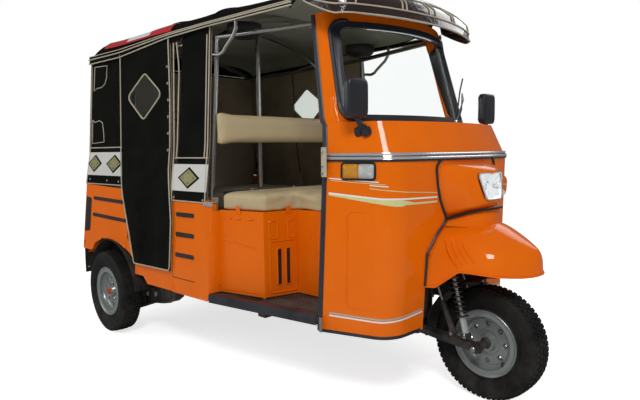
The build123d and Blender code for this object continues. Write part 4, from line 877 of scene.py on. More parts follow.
visor_angles = [VISOR_REACH * i / 48 for i in range(-48, 49)]
visor_rows = [[visor_point(a, s, 0.001) for a in visor_angles]
              for s in (0, 0.04, 0.18, 0.34, 0.52, 0.72, 0.9, 1.0)]
crown_row = [Vector((VISOR_CORE_X - 0.024 + (p.x - VISOR_CORE_X) * 0.70, p.y * 0.94, min(1.722, p.z + 0.02)))
             for p in visor_rows[-1]]
visor_rows.append([a.lerp(b, 0.45) + Vector((0, 0, 0.006)) for a, b in zip(visor_rows[-1], crown_row)])
visor_rows.append(crown_row)
visor = Shape().grid(visor_rows).piece("visor_vinyl", maroon, "maroon_vinyl", modifiers=[solid(0.004)],
                                       replaces=["front_visor"], smooth=60)
declare(visor_rows)
visor_lines = [[visor_point(a, s, 0.005) for a in visor_angles] for s in (0.02, 0.30, 0.82)]
for angle in (-33, -29.5, -4, 4, 29.5, 33, -60, 60):
    visor_lines.append([visor_point(angle, s, 0.005) for s in steps(0.30, 0.82, 8)])
piping("visor_piping", visor_lines, 0.0032, mirrored=False)

# %% [markdown]
# ## Nacelle and front mudguard
# Both are pressed steel with soft creases. Each is a row of cross-sections; a subdivision surface rounds
# them, and closer rows keep a crease tight.

# %% Nacelle
#                x, then (half width, z) from the top middle round to the bottom middle
NACELLE_SECTIONS = [(0.905, [(0, .999), (.160, .998), (.222, .992), (.243, .960), (.230, .895), (.208, .836),
                             (.184, .800), (.160, .757), (.10, .748), (0, .746)]),
                    (0.950, [(0, .993), (.145, .991), (.200, .985), (.222, .957), (.212, .893), (.190, .836),
                             (.168, .800), (.148, .764), (.09, .758), (0, .757)]),
                    (1.005, [(0, .981), (.108, .979), (.152, .972), (.170, .948), (.168, .893), (.153, .838),
                             (.136, .806), (.126, .783), (.08, .777), (0, .776)]),
                    (1.048, [(0, .970), (.084, .968), (.114, .960), (.128, .940), (.130, .890), (.122, .842),
                             (.114, .812), (.110, .797), (.07, .793), (0, .792)])]
NACELLE_FRONT = [(0, .960), (.074, .958), (.094, .952), (.103, .936), (.104, .888), (.096, .842),
                 (.088, .820), (.082, .808), (.055, .805), (0, .804)]
FRONT_BOW = 4.1


def mirrored(half):
    """Both halves of a closed section from its right half."""
    return half + [(-y, z) for y, z in half[-2:0:-1]]


def lamp_face(y, z, rise=0.0):
    """The front face, bowed back at both sides."""
    return Vector((1.096 - FRONT_BOW * y * y + rise, y, z))


LAMP_RING_Z = 0.888
nacelle_rings = [[Vector((x, y, z)) for y, z in mirrored(half)] for x, half in NACELLE_SECTIONS]
LAMP_RING = [(0, .943), (.058, .943), (.080, .943), (.0915, .938), (.083, .905), (.071, .868), (.061, .842),
             (.054, .835), (.03, .834), (0, .834)]
nacelle_rings.append([lamp_face(y, z) for y, z in mirrored(NACELLE_FRONT)])
for scale, rise in ((1.0, 0.004), (0.97, -0.004), (0.5, -0.036)):
    nacelle_rings.append([lamp_face(y * scale, LAMP_RING_Z + (z - LAMP_RING_Z) * scale, rise)
                          for y, z in mirrored(LAMP_RING)])
nacelle = Shape().grid(nacelle_rings, around=True, ends=True).piece("nacelle_shell", orange, "orange_paint",
                                                                    modifiers=[subdivide(2)],
                                                                    replaces=["headlamp_nacelle"], smooth=50)

# %% Front mudguard and its neck
#                 x, half at the foot, half of the ridge, foot, ridge, fullness of the flank
FENDER_LEVELS = [(0.925, .258, .115, .490, .750, 1.0), (0.970, .240, .112, .491, .748, 1.0),
                 (0.980, .237, .111, .499, .747, 1.0), (1.052, .215, .104, .556, .741, 0.8),
                 (1.064, .212, .102, .561, .740, 0.8), (1.110, .203, .096, .561, .732, 0.7),
                 (1.160, .190, .086, .558, .707, 0.7), (1.200, .166, .074, .553, .687, 0.7),
                 (1.235, .125, .060, .550, .668, 0.7), (1.262, .088, .044, .548, .654, 0.7),
                 (1.281, .052, .026, .548, .641, 0.7), (1.290, .022, .012, .549, .622, 0.7),
                 (1.2935, .0006, .0004, .551, .600, 0.7)]


def fender_row(level):
    """One cross-section of the mudguard, from its right foot over the ridge to the left foot."""
    x, foot_half, ridge_half, foot, ridge, full = level
    rise, spread = ridge - foot, foot_half - ridge_half
    half = [(0, ridge + 0.004), (ridge_half * 0.55, ridge + 0.002), (ridge_half, ridge - 0.012),
            (ridge_half + spread * 0.55, foot + rise * (0.60 + 0.17 * full)),
            (ridge_half + spread * 0.86, foot + rise * (0.34 + 0.11 * full)),
            (foot_half * 0.985, foot + rise * 0.13), (foot_half, foot)]
    return [Vector((x, -y, z)) for y, z in half[::-1]] + [Vector((x, y, z)) for y, z in half[1:]]


fender_rows = [fender_row(level) for level in FENDER_LEVELS]
fender = Shape().grid(fender_rows).piece(
    "mudguard_shell", orange, "orange_paint", modifiers=[solid(0.005, -1), subdivide(2)],
    replaces=["front_fender"], smooth=50, stand=UPWARD)
GAP_HEIGHT = [(0.920, 0.747), (0.945, 0.754), (1.005, 0.774), (1.054, 0.790), (1.110, 0.803)]
NECK_PLAN = [(0.915, -0.158), (0.950, -0.144), (1.005, -0.124), (1.045, -0.110), (1.072, -0.090),
             (1.092, -0.062), (1.102, -0.030), (1.105, 0.0)]
neck_outline = NECK_PLAN + [(x, -y) for x, y in NECK_PLAN[-2::-1]]
NECK_FOOT, NECK_SINK = 0.725, 0.006
neck_rows = [[Vector((x - 0.004 * k, y * (1 - 0.012 * k),
                      NECK_FOOT + (between(GAP_HEIGHT, x) - NECK_SINK - NECK_FOOT) * t))
              for x, y in neck_outline] for k, t in enumerate((0.0, 0.5, 0.94, 1.0))]
neck_rows += [[Vector((p.x, p.y * share, p.z + 0.001)) for p in neck_rows[-1]] for share in (0.6, 0.0)]
Shape().grid(neck_rows).piece("mudguard_neck", orange, "orange_paint", smooth=50)

# %% [markdown]
# ## Padding
# Seats are foam under vinyl. The CAD solid is copied, remeshed into even quads and blown up a little by a
# cloth simulation, so that the sides swell between the corners.

# %% Cushions
CLOTH_PRESSURE, CLOTH_FRAMES, FOAM_FILL = 4.0, 14, 0.7
CREASE_FROM_X, CREASE_GROWTH = 0.22, 12


def padding(name, node, finish, cap, voxel, shrink=0.008, soften=5, crease=0.0):
    """Blow up a copy of a CAD solid into a cushion; no point moves farther than cap."""
    made = bpy.data.objects.new(name, nodes[node].data.copy())
    bpy.context.scene.collection.objects.link(made)
    shape = bmesh.new()
    shape.from_mesh(made.data)
    bmesh.ops.remove_doubles(shape, verts=shape.verts, dist=1e-5)
    shape.to_mesh(made.data)
    shape.free()
    remesh = made.modifiers.new("remesh", "REMESH")
    remesh.mode, remesh.voxel_size = "VOXEL", voxel
    settle(made)
    shape = bmesh.new()
    shape.from_mesh(made.data)
    for _ in range(soften):
        bmesh.ops.smooth_vert(shape, verts=shape.verts, factor=0.5, use_axis_x=True, use_axis_y=True,
                              use_axis_z=True)
    shape.normal_update()
    for vert in shape.verts:
        x, y, z = vert.co
        reach = min(1.0, max(0.0, (x - CREASE_FROM_X) * CREASE_GROWTH))
        gather = crease * reach * noise.noise(Vector((x * 9 + y * 17, y * 13, z * 26)))
        vert.co += vert.normal * (gather - shrink * 0.3)
    shape.to_mesh(made.data)
    shape.free()
    start = [vert.co.copy() for vert in made.data.vertices]
    cloth = made.modifiers.new("cloth", "CLOTH")
    cloth.settings.quality = 4
    cloth.settings.mass = 0.3
    cloth.settings.tension_stiffness = cloth.settings.compression_stiffness = 15
    cloth.settings.use_pressure = True
    cloth.settings.uniform_pressure_force = CLOTH_PRESSURE
    cloth.settings.effector_weights.gravity = 0
    for step in range(1, CLOTH_FRAMES + 1):
        bpy.context.scene.frame_set(step)
    settle(made)
    bpy.context.scene.frame_set(1)
    for vert, before in zip(made.data.vertices, start):
        moved = vert.co - before
        if moved.length > cap:
            vert.co = before + moved.normalized() * cap
    shape = bmesh.new()
    shape.from_mesh(made.data)
    bmesh.ops.smooth_vert(shape, verts=shape.verts, factor=0.5, use_axis_x=True, use_axis_y=True,
                          use_axis_z=True)
    shape.to_mesh(made.data)
    shape.free()
    finer = made.modifiers.new("finer", "SUBSURF")
    finer.levels = finer.render_levels = 1
    dress(made, finish, "body", 60, [node])
    print(name, "faces", len(made.data.polygons))
    return made


padding("driver_seat_pad", "driver_cushion", beige, cap=0.006, voxel=0.010, soften=2, shrink=0.004,
        crease=0.020)
driver_rest = padding("driver_rest_pad", "driver_backrest", beige, cap=0.009, voxel=0.010)
REST_MIDDLE, REST_DEEPER, REST_WIDER = 1.150, 1.22, 1.045
for vertex in driver_rest.data.vertices:
    vertex.co = (vertex.co.x, vertex.co.y * REST_WIDER,
                 REST_MIDDLE + (vertex.co.z - REST_MIDDLE) * REST_DEEPER)
# The bench is padded in the darker copy of the beige vinyl, a painted shade.
padding("bench_seat_pad", "bench_cushion", shaded_beige, cap=0.014, voxel=0.016)
padding("bench_rest_pad", "bench_back", shaded_beige, cap=0.014, voxel=0.016)

# %% [markdown]
# ## Mirrors
# Each housing is a superellipsoid: a box with fully rounded corners. The glass looks back.

# %% Mirrors
MIRROR_MIDDLE = Vector((0.780, -0.494, 1.237))


def superbox(shape, middle, half, power=0.32, around=28, rings=16):
    """A box whose corners are rounded all over."""
    def soft(value, exponent):
        return (1 if value >= 0 else -1) * abs(value) ** exponent
    rows = []
    for i in range(rings + 1):
        lift = -pi / 2 + pi * i / rings
        rows.append([middle + Vector((half[0] * soft(cos(lift), power) * soft(cos(2 * pi * k / around),
                                                                              power), half[1]
                                      * soft(cos(lift), power) * soft(sin(2 * pi * k / around), power),
                                      half[2] * soft(sin(lift), power))) for k in range(around)])
    shape.grid(rows, around=True)


housing = Shape()
superbox(housing, MIRROR_MIDDLE, (0.021, 0.055, 0.075))
housing.tube([(0.781, -0.487, 1.170), (0.782, -0.482, 1.150), (0.783, -0.470, 1.136), (0.784, -0.460, 1.126)],
             [0.013, 0.010, 0.012, 0.018], 12)
for shift in (-0.018, 0.018):
    housing.knob([(0.0, -0.022), (0.019, -0.022), (0.021, -0.008), (0.017, 0.008), (0.0, 0.012)],
                 (0.784 + shift, -0.462, 1.118), 16, (0, -0.4, 1))
housing.both_sides().piece("mirror_housings", plastic, "black_plastic", replaces=["mirrors"], smooth=50)
mirror_finish = material("mirror_glass", (0.80, 0.82, 0.84), 0.02, dirt=0.02, vary=0.01, Metallic=1.0)
pane = Shape()
superbox(pane, MIRROR_MIDDLE + Vector((-0.0205, 0, 0)), (0.0022, 0.048, 0.067), 0.3)
pane.both_sides().piece("mirror_panes", mirror_finish, "glass")
print("mirrors at", [round(v, 3) for v in MIRROR_MIDDLE])

# %% [markdown]
# ## Wheels
# A tyre is turned from one profile. Its tread is rows of blocks, placed round the wheel by Geometry Nodes:
# a tree makes points at equal angles, puts a copy of the block on each, and turns it to face outwards.

# %% Places of the wheels and the tyre profile
TYRE_R = 0.235
FRONT_AXLE_X, REAR_AXLE_X, REAR_TRACK_HALF = 1.080, -0.950, 0.6925
WHEELS = {"front": (Vector((FRONT_AXLE_X, 0, TYRE_R)), "front_wheel", -1),
          "rear_right": (Vector((REAR_AXLE_X, -REAR_TRACK_HALF, TYRE_R)), "rear_wheel_right", -1),
          "rear_left": (Vector((REAR_AXLE_X, REAR_TRACK_HALF, TYRE_R)), "rear_wheel_left", 1)}
TYRE_PROFILE = [(0.141, -0.040), (0.146, -0.046), (0.152, -0.044), (0.158, -0.048), (0.172, -0.0545),
                (0.175, -0.0540), (0.178, -0.0560), (0.192, -0.0580), (0.206, -0.0560), (0.209, -0.0546),
                (0.214, -0.0545), (0.2215, -0.0500), (0.2270, -0.0460), (0.2295, -0.0380), (0.2310, -0.0200),
                (0.2312, 0.0)]
TYRE_PROFILE = TYRE_PROFILE + [(radius, -along) for radius, along in TYRE_PROFILE[-2::-1]]
TYRE_PROFILE += [(0.136, 0.036), (0.134, 0.0), (0.136, -0.036)]

# %% Ring tree
def new_tree(name, **sockets):
    """An empty Geometry Nodes tree with named inputs; returns it, its input node and the inputs' ids."""
    tree = bpy.data.node_groups.new(name, "GeometryNodeTree")
    ids = {}
    for label, kind in [*sockets.items(), ("Finish", "Material")]:
        label = label.replace("_", " ")
        ids[label] = tree.interface.new_socket(label, in_out="INPUT",
                                               socket_type=f"NodeSocket{kind}").identifier
    tree.interface.new_socket("Mesh", in_out="OUTPUT", socket_type="NodeSocketGeometry")
    return tree, tree.nodes.new("NodeGroupInput"), ids


def end_tree(tree, takes, shape):
    """Make a tree's shape real, give it its finish and send it out."""
    real = wire(tree, "GeometryNodeRealizeInstances", {0: shape})
    done = wire(tree, "GeometryNodeSetMaterial", {0: real.outputs[0], "Material": takes.outputs["Finish"]})
    tree.links.new(done.outputs[0], tree.nodes.new("NodeGroupOutput").inputs[0])


def ring_tree(name):
    """Geometry Nodes: copies of an object at equal angles round the Y axis through a centre."""
    tree, takes, ids = new_tree(name, Count="Int", Radius="Float", Centre="Vector", Start_Angle="Float",
                                Stamp="Object")
    points = wire(tree, "GeometryNodePoints", {"Count": takes.outputs["Count"]})
    share = math(tree, "DIVIDE", wire(tree, "GeometryNodeInputIndex").outputs[0], takes.outputs["Count"])
    angle = math(tree, "MULTIPLY_ADD", share, 2 * pi, takes.outputs["Start Angle"])
    out = wire(tree, "ShaderNodeCombineXYZ", {
        0: math(tree, "MULTIPLY", math(tree, "SINE", angle), takes.outputs["Radius"]),
        2: math(tree, "MULTIPLY", math(tree, "COSINE", angle), takes.outputs["Radius"])}).outputs[0]
    placed = wire(tree, "GeometryNodeSetPosition",
                  {"Geometry": points.outputs[0], "Position": wire(tree, "ShaderNodeVectorMath",
                                                                   {0: out, 1: takes.outputs["Centre"]},
                                                                   operation="ADD").outputs[0]})
    stamp = wire(tree, "GeometryNodeObjectInfo", {"Object": takes.outputs["Stamp"]})
    copies = wire(tree, "GeometryNodeInstanceOnPoints", {
        "Points": placed.outputs[0], "Instance": stamp.outputs["Geometry"],
        "Rotation": wire(tree, "ShaderNodeCombineXYZ", {1: angle}).outputs[0]})
    end_tree(tree, takes, copies.outputs[0])
    return tree, ids


RING, RING_IDS = ring_tree("round_the_wheel")


def stamp_object(name, shape):
    """A small mesh to be repeated; it is deleted when its copies are made."""
    bmesh.ops.recalc_face_normals(shape.bm, faces=shape.bm.faces)
    mesh = bpy.data.meshes.new(name)
    shape.bm.to_mesh(mesh)
    shape.bm.free()
    made = bpy.data.objects.new(name, mesh)
    bpy.context.scene.collection.objects.link(made)
    return made


def run_tree(name, tree, ids, values):
    """A mesh made by a Geometry Nodes tree with the given inputs."""
    made = bpy.data.objects.new(name, bpy.data.meshes.new(name))
    bpy.context.scene.collection.objects.link(made)
    modifier = made.modifiers.new("nodes", "NODES")
    modifier.node_group = tree
    for label, value in values.items():
        modifier[ids[label]] = value
    return settle(made)


def join(name, parts):
    """Several objects' meshes as one object."""
    shape = bmesh.new()
    for part in parts:
        shape.from_mesh(part.data)
        bpy.data.objects.remove(part)
    mesh = bpy.data.meshes.new(name)
    shape.to_mesh(mesh)
    shape.free()
    made = bpy.data.objects.new(name, mesh)
    bpy.context.scene.collection.objects.link(made)
    return made

# %% Tyres and their tread
def tread_block(length, width, depth, slant):
    """One lug of tread, standing along +Z at the wheel's surface."""
    shape = Shape()
    low = [Vector((-length / 2, -width / 2, -depth)), Vector((length / 2, -width / 2, -depth)),
           Vector((length / 2, width / 2, -depth)), Vector((-length / 2, width / 2, -depth))]
    top = [Vector((p.x * 0.86 + slant * p.y, p.y * 0.9, 0)) for p in low]
    low = [Vector((p.x + slant * p.y, p.y, p.z)) for p in low]
    shape.grid([low, top], around=True, ends=True)
    return stamp_object("tread_lug", shape)


#            across, width, slant, shift, drop
LUG_ROWS = [(-0.0405, 0.0150, 0.25, 0.0, 0.0030), (-0.0205, 0.0165, -0.35, 0.5, 0.0005),
            (0.0, 0.0150, 0.35, 0.0, 0.0), (0.0205, 0.0165, 0.35, 0.5, 0.0005),
            (0.0405, 0.0150, -0.25, 0.0, 0.0030)]
LUG_COUNT, LUG_LENGTH, LUG_DEPTH = 62, 0.0185, 0.006
for label, (centre, body, _) in WHEELS.items():
    node = f"{label.split('_')[0]}_tyre" + (f"_{label.split('_')[1]}" if "_" in label else "")
    Shape().turned(TYRE_PROFILE, centre, 96).piece(f"tyre_{label}", tyre_rubber, "tyre", body,
                                                   replaces=[node], smooth=50)
    lugs = []
    for row, (across, width, slant, shift, drop) in enumerate(LUG_ROWS):
        stamp = tread_block(LUG_LENGTH, width, LUG_DEPTH, slant)
        lugs.append(run_tree(f"lugs_{row}", RING, RING_IDS, {
            "Count": LUG_COUNT, "Radius": TYRE_R - drop, "Centre": centre + Vector((0, across, 0)),
            "Start Angle": shift * 2 * pi / LUG_COUNT, "Stamp": stamp, "Finish": tyre_rubber}))
        bpy.data.objects.remove(stamp)
    dress(join(f"tread_{label}", lugs), tyre_rubber, body)
print("tread lugs:", LUG_COUNT * len(LUG_ROWS), "a tyre")

# %% [markdown]
# ## Trim on the cowl
# Vinyl stripes, a chrome moulding and rubber edges dress the cowl. Each is a strip or a tube whose points
# are found by rays on the steel, so that it lies on the panel all the way round.

# %% Stripes
def cowl_strip(shape, low, high, top, foot, proud, count=48):
    """A band round the cowl between two angles; top and foot are tables of (angle, height)."""
    rows = []
    for angle in steps(low, high, count):
        z_top, z_foot = between(top, angle), between(foot, angle)
        row = [on_cowl(angle, z_foot + (z_top - z_foot) * k / 3, proud) for k in range(4)]
        if all(row):
            rows.append(row)
    shape.grid(rows)


def level_table(table, lift):
    """A table of (angle, height) raised a little."""
    return [(angle, z + lift) for angle, z in table]


STRIPES = {"white": (stripe_white, [([(-86, 0.929), (-62, 0.917)], 0.0022),
                                    ([(-66, 0.905), (-58, 0.900)], 0.0020),
                                    ([(-86, 0.870), (-60, 0.853), (-32, 0.850)], 0.0034),
                                    ([(-85, 0.379), (-60, 0.375), (-41, 0.388)], 0.0030)]),
           "pale": (stripe_gold, [([(-85, 0.9205), (-59, 0.908)], 0.0014),
                                  ([(-66, 0.893), (-50, 0.878), (-32, 0.867)], 0.0016),
                                  ([(-50, 0.832), (-32, 0.832)], 0.0040)]),
           "grey": (cream, [([(-85, 0.389), (-60, 0.385), (-41, 0.398)], 0.0034)])}
for colour, (finish, lines) in STRIPES.items():
    shape = Shape()
    for table, half in lines:
        cowl_strip(shape, table[0][0], table[-1][0], level_table(table, half),
                   level_table(table, -half), 0.0012)
    if colour == "pale":
        cowl_strip(shape, -86, -46.5, [(-86, 0.8665), (-60, 0.8495), (-52, 0.8480), (-46.5, 0.836)],
                   [(-86, 0.861), (-62, 0.834), (-55, 0.824), (-52.5, 0.8235), (-48.5, 0.8345),
                    (-46.5, 0.8345)], 0.0010)
    shape.both_sides().piece(f"cowl_stripes_{colour}", finish, "white_belt", modifiers=[solid(0.0008)])
print("stripes laid")


# %% Moulding lines and cowl-top rubber
def on_flank(x, z, proud=0.0):
    """A point on the cowl's right side."""
    return from_right(cowl, x, z, proud)


moulding_core = face_finder("belt_moulding")


def moulding_line(z, proud):
    """Points round the chrome moulding at one height."""
    places = [inwards(moulding_core, COWL_CORE_X, angle, z, proud) for angle in steps(-88, 88, 110)]
    return [place for place in places if place]


piping("moulding_beads", [moulding_line(1.0085, 0.000), moulding_line(1.0225, 0.000)], 0.0036, chrome,
       "chrome_trim", mirrored=False)
# A black cord in the moulding's middle groove: a painted shade in the groove.
piping("moulding_groove", [moulding_line(1.0155, 0.0004)], 0.0014, slot_black, "black_plastic",
       mirrored=False)
piping("moulding_foot", [cowl_line(-88, 88, 0.9985, 0.002, 100)], 0.0042, rubber, "rubber", mirrored=False)

# %% Door edges
DOOR_EDGE = [(0.619, -0.5525, 0.312), (0.6205, -0.548, 0.42), (0.629, -0.5225, 0.985),
             (0.630, -0.5205, 1.005), (0.604, -0.496, 1.140), (0.585, -0.4905, 1.158),
             (0.5275, -0.4585, 1.385), (0.472, -0.4265, 1.606)]


def along(points, spacing=0.03):
    """More points on a broken line, evenly spaced."""
    made = []
    for start, end in zip(points, points[1:]):
        start, end = Vector(start), Vector(end)
        count = max(1, round((end - start).length / spacing))
        made += [start.lerp(end, i / count) for i in range(count)]
    return made + [Vector(points[-1])]


front_skin = face_finder("cowl_shell", "windscreen_frame")
EDGE_WIDTH = 0.018
edge_rows = []
for edge in along(DOOR_EDGE, 0.02):
    row = [Vector((edge.x - 0.002, edge.y + 0.014, edge.z)), edge + Vector((-0.003, 0, 0))]
    for k, proud in enumerate((0.0045, 0.0055, 0.0045, 0.0008)):
        x = edge.x + EDGE_WIDTH * (k + 0.4) / 3.4
        place = from_right(front_skin, x, edge.z, proud)
        if place:
            row.append(place)
    if len(row) == 6:
        edge_rows.append(row)
Shape().grid(edge_rows).both_sides().piece("door_edge_rubber", rubber, "rubber", modifiers=[solid(0.0015)])
piping("cowl_foot_rubber", [cowl_line(-88, -42, 0.3125, -0.002, 40)], 0.0075, rubber, "rubber")
guards = Shape().grid([[Vector((x, y + 0.001 * k, z)) for k, (x, y) in
                        enumerate(((0.636, -0.5300), (0.6372, -0.5410), (0.650, -0.5425), (0.660, -0.5375)))]
                       for z in steps(0.935, 1.052, 6)])
guards.both_sides().piece("edge_guards", cream, "cream_piping", modifiers=[solid(0.003)])
fasteners("edge_guard_screws", [(0.0, 0.0), (0.0042, 0.0), (0.0036, 0.0025), (0.0, 0.003)],
          [(0.646, -0.5445, z) for z in (0.948, 0.975, 1.033)], 10, (0.2, -1, 0), tube_steel, "bright_tube")
lower_guard = Shape().grid([[Vector((0.632, -0.5600, z)), Vector((0.641, -0.5665, z)),
                             Vector((0.655, -0.5640, z))] for z in steps(0.312, 0.372, 4)])
lower_guard.both_sides().piece("foot_guards", tube_steel, "bright_tube", modifiers=[solid(0.002)])
print("door edges trimmed")

# %% Pressed outline on the flank
FLANK_PRESSING = rounded([(1.200, 0.800), (0.737, 0.800), (0.737, 0.418), (1.200, 0.418)], 0.03, 6)
pressing = [Vector((0.850, 0.800))] + [p for p in FLANK_PRESSING if p.x < 0.8] + [Vector((0.850, 0.418))]
ridge = along([on_flank(p.x, p.y, 0.0004) for p in pressing], 0.02)
fade = [0.0036 * min(1.0, 0.15 + 3 * min(i, len(ridge) - 1 - i) / len(ridge)) for i in range(len(ridge))]
Shape().tube(ridge, fade, 8).both_sides().piece("flank_ridge", orange, "orange_paint")

# %% [markdown]
# ## Lamps
# An indicator is an amber and a clear lens in a black bezel. The headlamp has a chrome rim, a faceted
# reflector and a bulging glass. Lenses are domes: rings of a rounded outline that shrink and rise towards
# the middle.

# %% Indicators
def dome(shape, outline, thick, place, rings=7, power=2.6):
    """A domed lens over a 2-D outline; place turns (a, b, rise) into a point."""
    middle = sum((Vector(p) for p in outline), Vector((0, 0))) / len(outline)
    rows = []
    for ring in range(rings):
        scale = 1 - (ring / rings) ** 1.3
        rise = thick * (1 - scale ** power) if ring else -0.001
        rows.append([place(*(middle + (Vector(p) - middle) * scale), rise) for p in outline])
    rows.append([place(*middle, thick)] * len(outline))
    shape.grid(rows, around=True)


LAMP_BACK, LAMP_SPLIT, LAMP_FRONT, LAMP_FOOT, LAMP_TOP = 0.716, 0.783, 0.850, 0.930, 0.986
for name, x_low, x_high, finish, slot in (("amber", LAMP_BACK, LAMP_SPLIT, amber, "amber_lens"),
                                          ("clear", LAMP_SPLIT + 0.0006, LAMP_FRONT, clear_lens,
                                           "lamp_lens")):
    lens = Shape()
    dome(lens, rounded(corners(x_low, x_high, LAMP_FOOT, LAMP_TOP), 0.010, 4), 0.013,
         lambda x, z, rise: on_flank(x, z, 0.004 + rise))
    lens.both_sides().piece(f"indicator_{name}", finish, slot,
                            replaces=["indicators"] if name == "amber" else ())
bezel = rounded(corners(LAMP_BACK - 0.004, LAMP_FRONT + 0.004, LAMP_FOOT - 0.004, LAMP_TOP + 0.004), 0.014, 5)
piping("indicator_bezels", [along([on_flank(p.x, p.y, 0.002) for p in bezel + bezel[:1]], 0.01)], 0.0042,
       slot_black, "black_plastic")

# %% Headlamp
LAMP_OUTLINE = rounded([(-0.056, 0.836), (0.056, 0.836), (0.090, 0.941), (-0.090, 0.941)], 0.012, 5)
LAMP_MIDDLE_Z = 0.890
glass_lens, reflector = Shape(), Shape()
dome(glass_lens, LAMP_OUTLINE, 0.036, lambda y, z, rise: lamp_face(y, z, 0.007 + rise), 9, 2.4)
glass_lens.piece("headlamp_glass", glass, "lamp_lens", replaces=["headlamp"])
dome(reflector, LAMP_OUTLINE, -0.030, lambda y, z, rise: lamp_face(y, z, 0.006 + rise), 5, 1.6)
bmesh.ops.poke(reflector.bm, faces=reflector.bm.faces, offset=0.003)
lamp_mirror = material("faceted_reflector", (0.86, 0.88, 0.90), 0.14, dirt=0.02, vary=0.1, Metallic=1.0)
reflector.piece("headlamp_reflector", lamp_mirror, "chrome_trim", smooth=5)
piping("headlamp_rim", [[lamp_face(p.x, p.y, 0.008) for p in LAMP_OUTLINE + LAMP_OUTLINE[:1]]], 0.0045,
       chrome, "chrome_trim", mirrored=False)
bulb = Shape().knob([(0.0, -0.004), (0.012, -0.004), (0.014, 0.010), (0.010, 0.018), (0.0, 0.021)],
                    (1.092, 0, LAMP_MIDDLE_Z), 16, FORWARD)
bulb.piece("headlamp_bulb", clear_lens, "lamp_lens")
print("lamps fitted")

# %% [markdown]
# ## Seams round the nacelle
# The nacelle and the mudguard are bolted to the cowl over a rubber strip. The strip follows the line where
# they meet it, found by rays from the front. The mudguard's ribs are low ridges on its flank.

# %% Nacelle rubber and mudguard ribs
def on_nose(y, z, proud=0.0):
    """A point on the cowl, found from the front."""
    return hit(cowl, (AHEAD_OF_ALL, y, z), (0.5, y, z), proud)


SEAM = [(-0.190, 1.000), (-0.208, 0.994), (-0.225, 0.975), (-0.226, 0.957), (-0.212, 0.893), (-0.191, 0.836),
        (-0.170, 0.800), (-0.140, 0.757), (-0.165, 0.728), (-0.202, 0.694), (-0.224, 0.662), (-0.2535, 0.625),
        (-0.2545, 0.560), (-0.2560, 0.492)]
seam_points = []
for (y_low, z_low), (y_high, z_high) in zip(SEAM, SEAM[1:]):
    seam_points += [(y_low + (y_high - y_low) * k / 4, z_low + (z_high - z_low) * k / 4) for k in range(4)]
seam_hits = [p for p in (on_nose(y, z, 0.003) for y, z in seam_points + [SEAM[-1]]) if p]
piping("nacelle_rubber", [seam_hits], 0.0058, rubber, "rubber")
# A black cord in the gap under the nacelle: a painted shade between the nacelle and the mudguard's neck.
gap_shade_line = along([Vector((x + 0.001, y * 1.02, between(GAP_HEIGHT, x) - 0.002)) for x, y in NECK_PLAN[1:]],
                 0.02)
piping("nacelle_gap", [gap_shade_line + [Vector((p.x, -p.y, p.z)) for p in gap_shade_line[-2::-1]]],
       0.0058, slot_black, "rubber", mirrored=False)


def tree_of(made):
    """A search tree over a finished piece."""
    mesh = made.data
    return BVHTree.FromPolygons([v.co.copy() for v in mesh.vertices],
                                [list(p.vertices) for p in mesh.polygons])


guard_faces = tree_of(fender)
ribs = Shape()
for (x_a, z_a), (x_b, z_b), radius in (((0.978, 0.676), (1.054, 0.578), 0.0080),
                                       ((0.998, 0.680), (1.072, 0.590), 0.0046),
                                       ((1.020, 0.682), (1.094, 0.596), 0.0046),
                                       ((1.044, 0.680), (1.118, 0.600), 0.0046)):
    line = [Vector((x_a + (x_b - x_a) * t, -0.5, z_a + (z_b - z_a) * t)) for t in steps(0, 1, 12)]
    line = [p for p in (hit(guard_faces, p, (p.x, 0, p.z), 0.0006) for p in line) if p]
    ribs.tube(line, [radius * (0.3 + 0.7 * sin(pi * t)) for t in steps(0, 1, len(line) - 1)], 8)
ribs.both_sides().piece("mudguard_ribs", orange, "orange_paint")
lip_path = along([row[0] for row in fender_rows], 0.02)
piping("mudguard_lip", [lip_path], 0.0042, orange, "orange_paint")
print("seams and ribs done")

# %% [markdown]
# ## The wiper
# An arm on a spindle carries the blade. Both are bent bars.

# %% Wiper
wiper = Shape()
wiper.knob([(0.0, -0.006), (0.013, -0.006), (0.012, 0.006), (0.008, 0.014), (0.0, 0.016)],
           (0.868, 0.070, 1.152), 18, (0.2, 0, 1))
wiper.tube([(0.866, 0.074, 1.160), (0.860, 0.095, 1.178), (0.850, 0.158, 1.262), (0.838, 0.160, 1.300)],
           [0.0045, 0.004, 0.003, 0.0025], 8)
wiper.piece("wiper_arm", tube_steel, "bright_tube")
blade = Shape()
blade.tube([(0.838, 0.134, 1.232), (0.834, 0.152, 1.296), (0.832, 0.178, 1.356)], 0.0034, 6, squash=2.0)
blade.tube([(0.866, 0.086, 1.160), (0.858, 0.130, 1.215), (0.842, 0.158, 1.290)], 0.0028, 6)
blade.piece("wiper_blade", rubber, "rubber")

# %% Windscreen rubber
screen_face = face_finder("windscreen_frame", "windscreen_seal")
SCREEN_OUTLINE = rounded([(-0.452, 1.183), (0.452, 1.183), (0.410, 1.574), (-0.410, 1.574)], 0.062, 8)
bead = [hit(screen_face, (AHEAD_OF_ALL, p.x, p.y), (0.3, p.x, p.y), 0.001)
        for p in SCREEN_OUTLINE + SCREEN_OUTLINE[:1]]
screen_bead = piping("windscreen_bead", [along([p for p in bead if p], 0.03)], 0.0095, rubber, "rubber",
                     mirrored=False)

# %% [markdown]
# ## The screen's lower edge
# The opening reaches almost down to the scuttle. Copies of the frame, the seal and the glass have the lower
# edge of the opening drawn down along the raked face, and take the places of the plain ones.

# %% Screen opening
SCREEN_DROP, SCREEN_RAKE = 0.028, 0.249
DROP_LEVELS = [(1.1505, 0.0), (1.184, 1.0), (1.215, 1.0), (1.500, 0.0)]


def drop_opening(mesh, reach):
    """Lower the points near the opening's sill; reach keeps the frame's outer edge where it is."""
    for vertex in mesh.vertices:
        x, y, z = vertex.co
        if abs(y) < reach:
            drop = SCREEN_DROP * between(DROP_LEVELS, z)
            vertex.co = (x + SCREEN_RAKE * drop, y, z - drop)


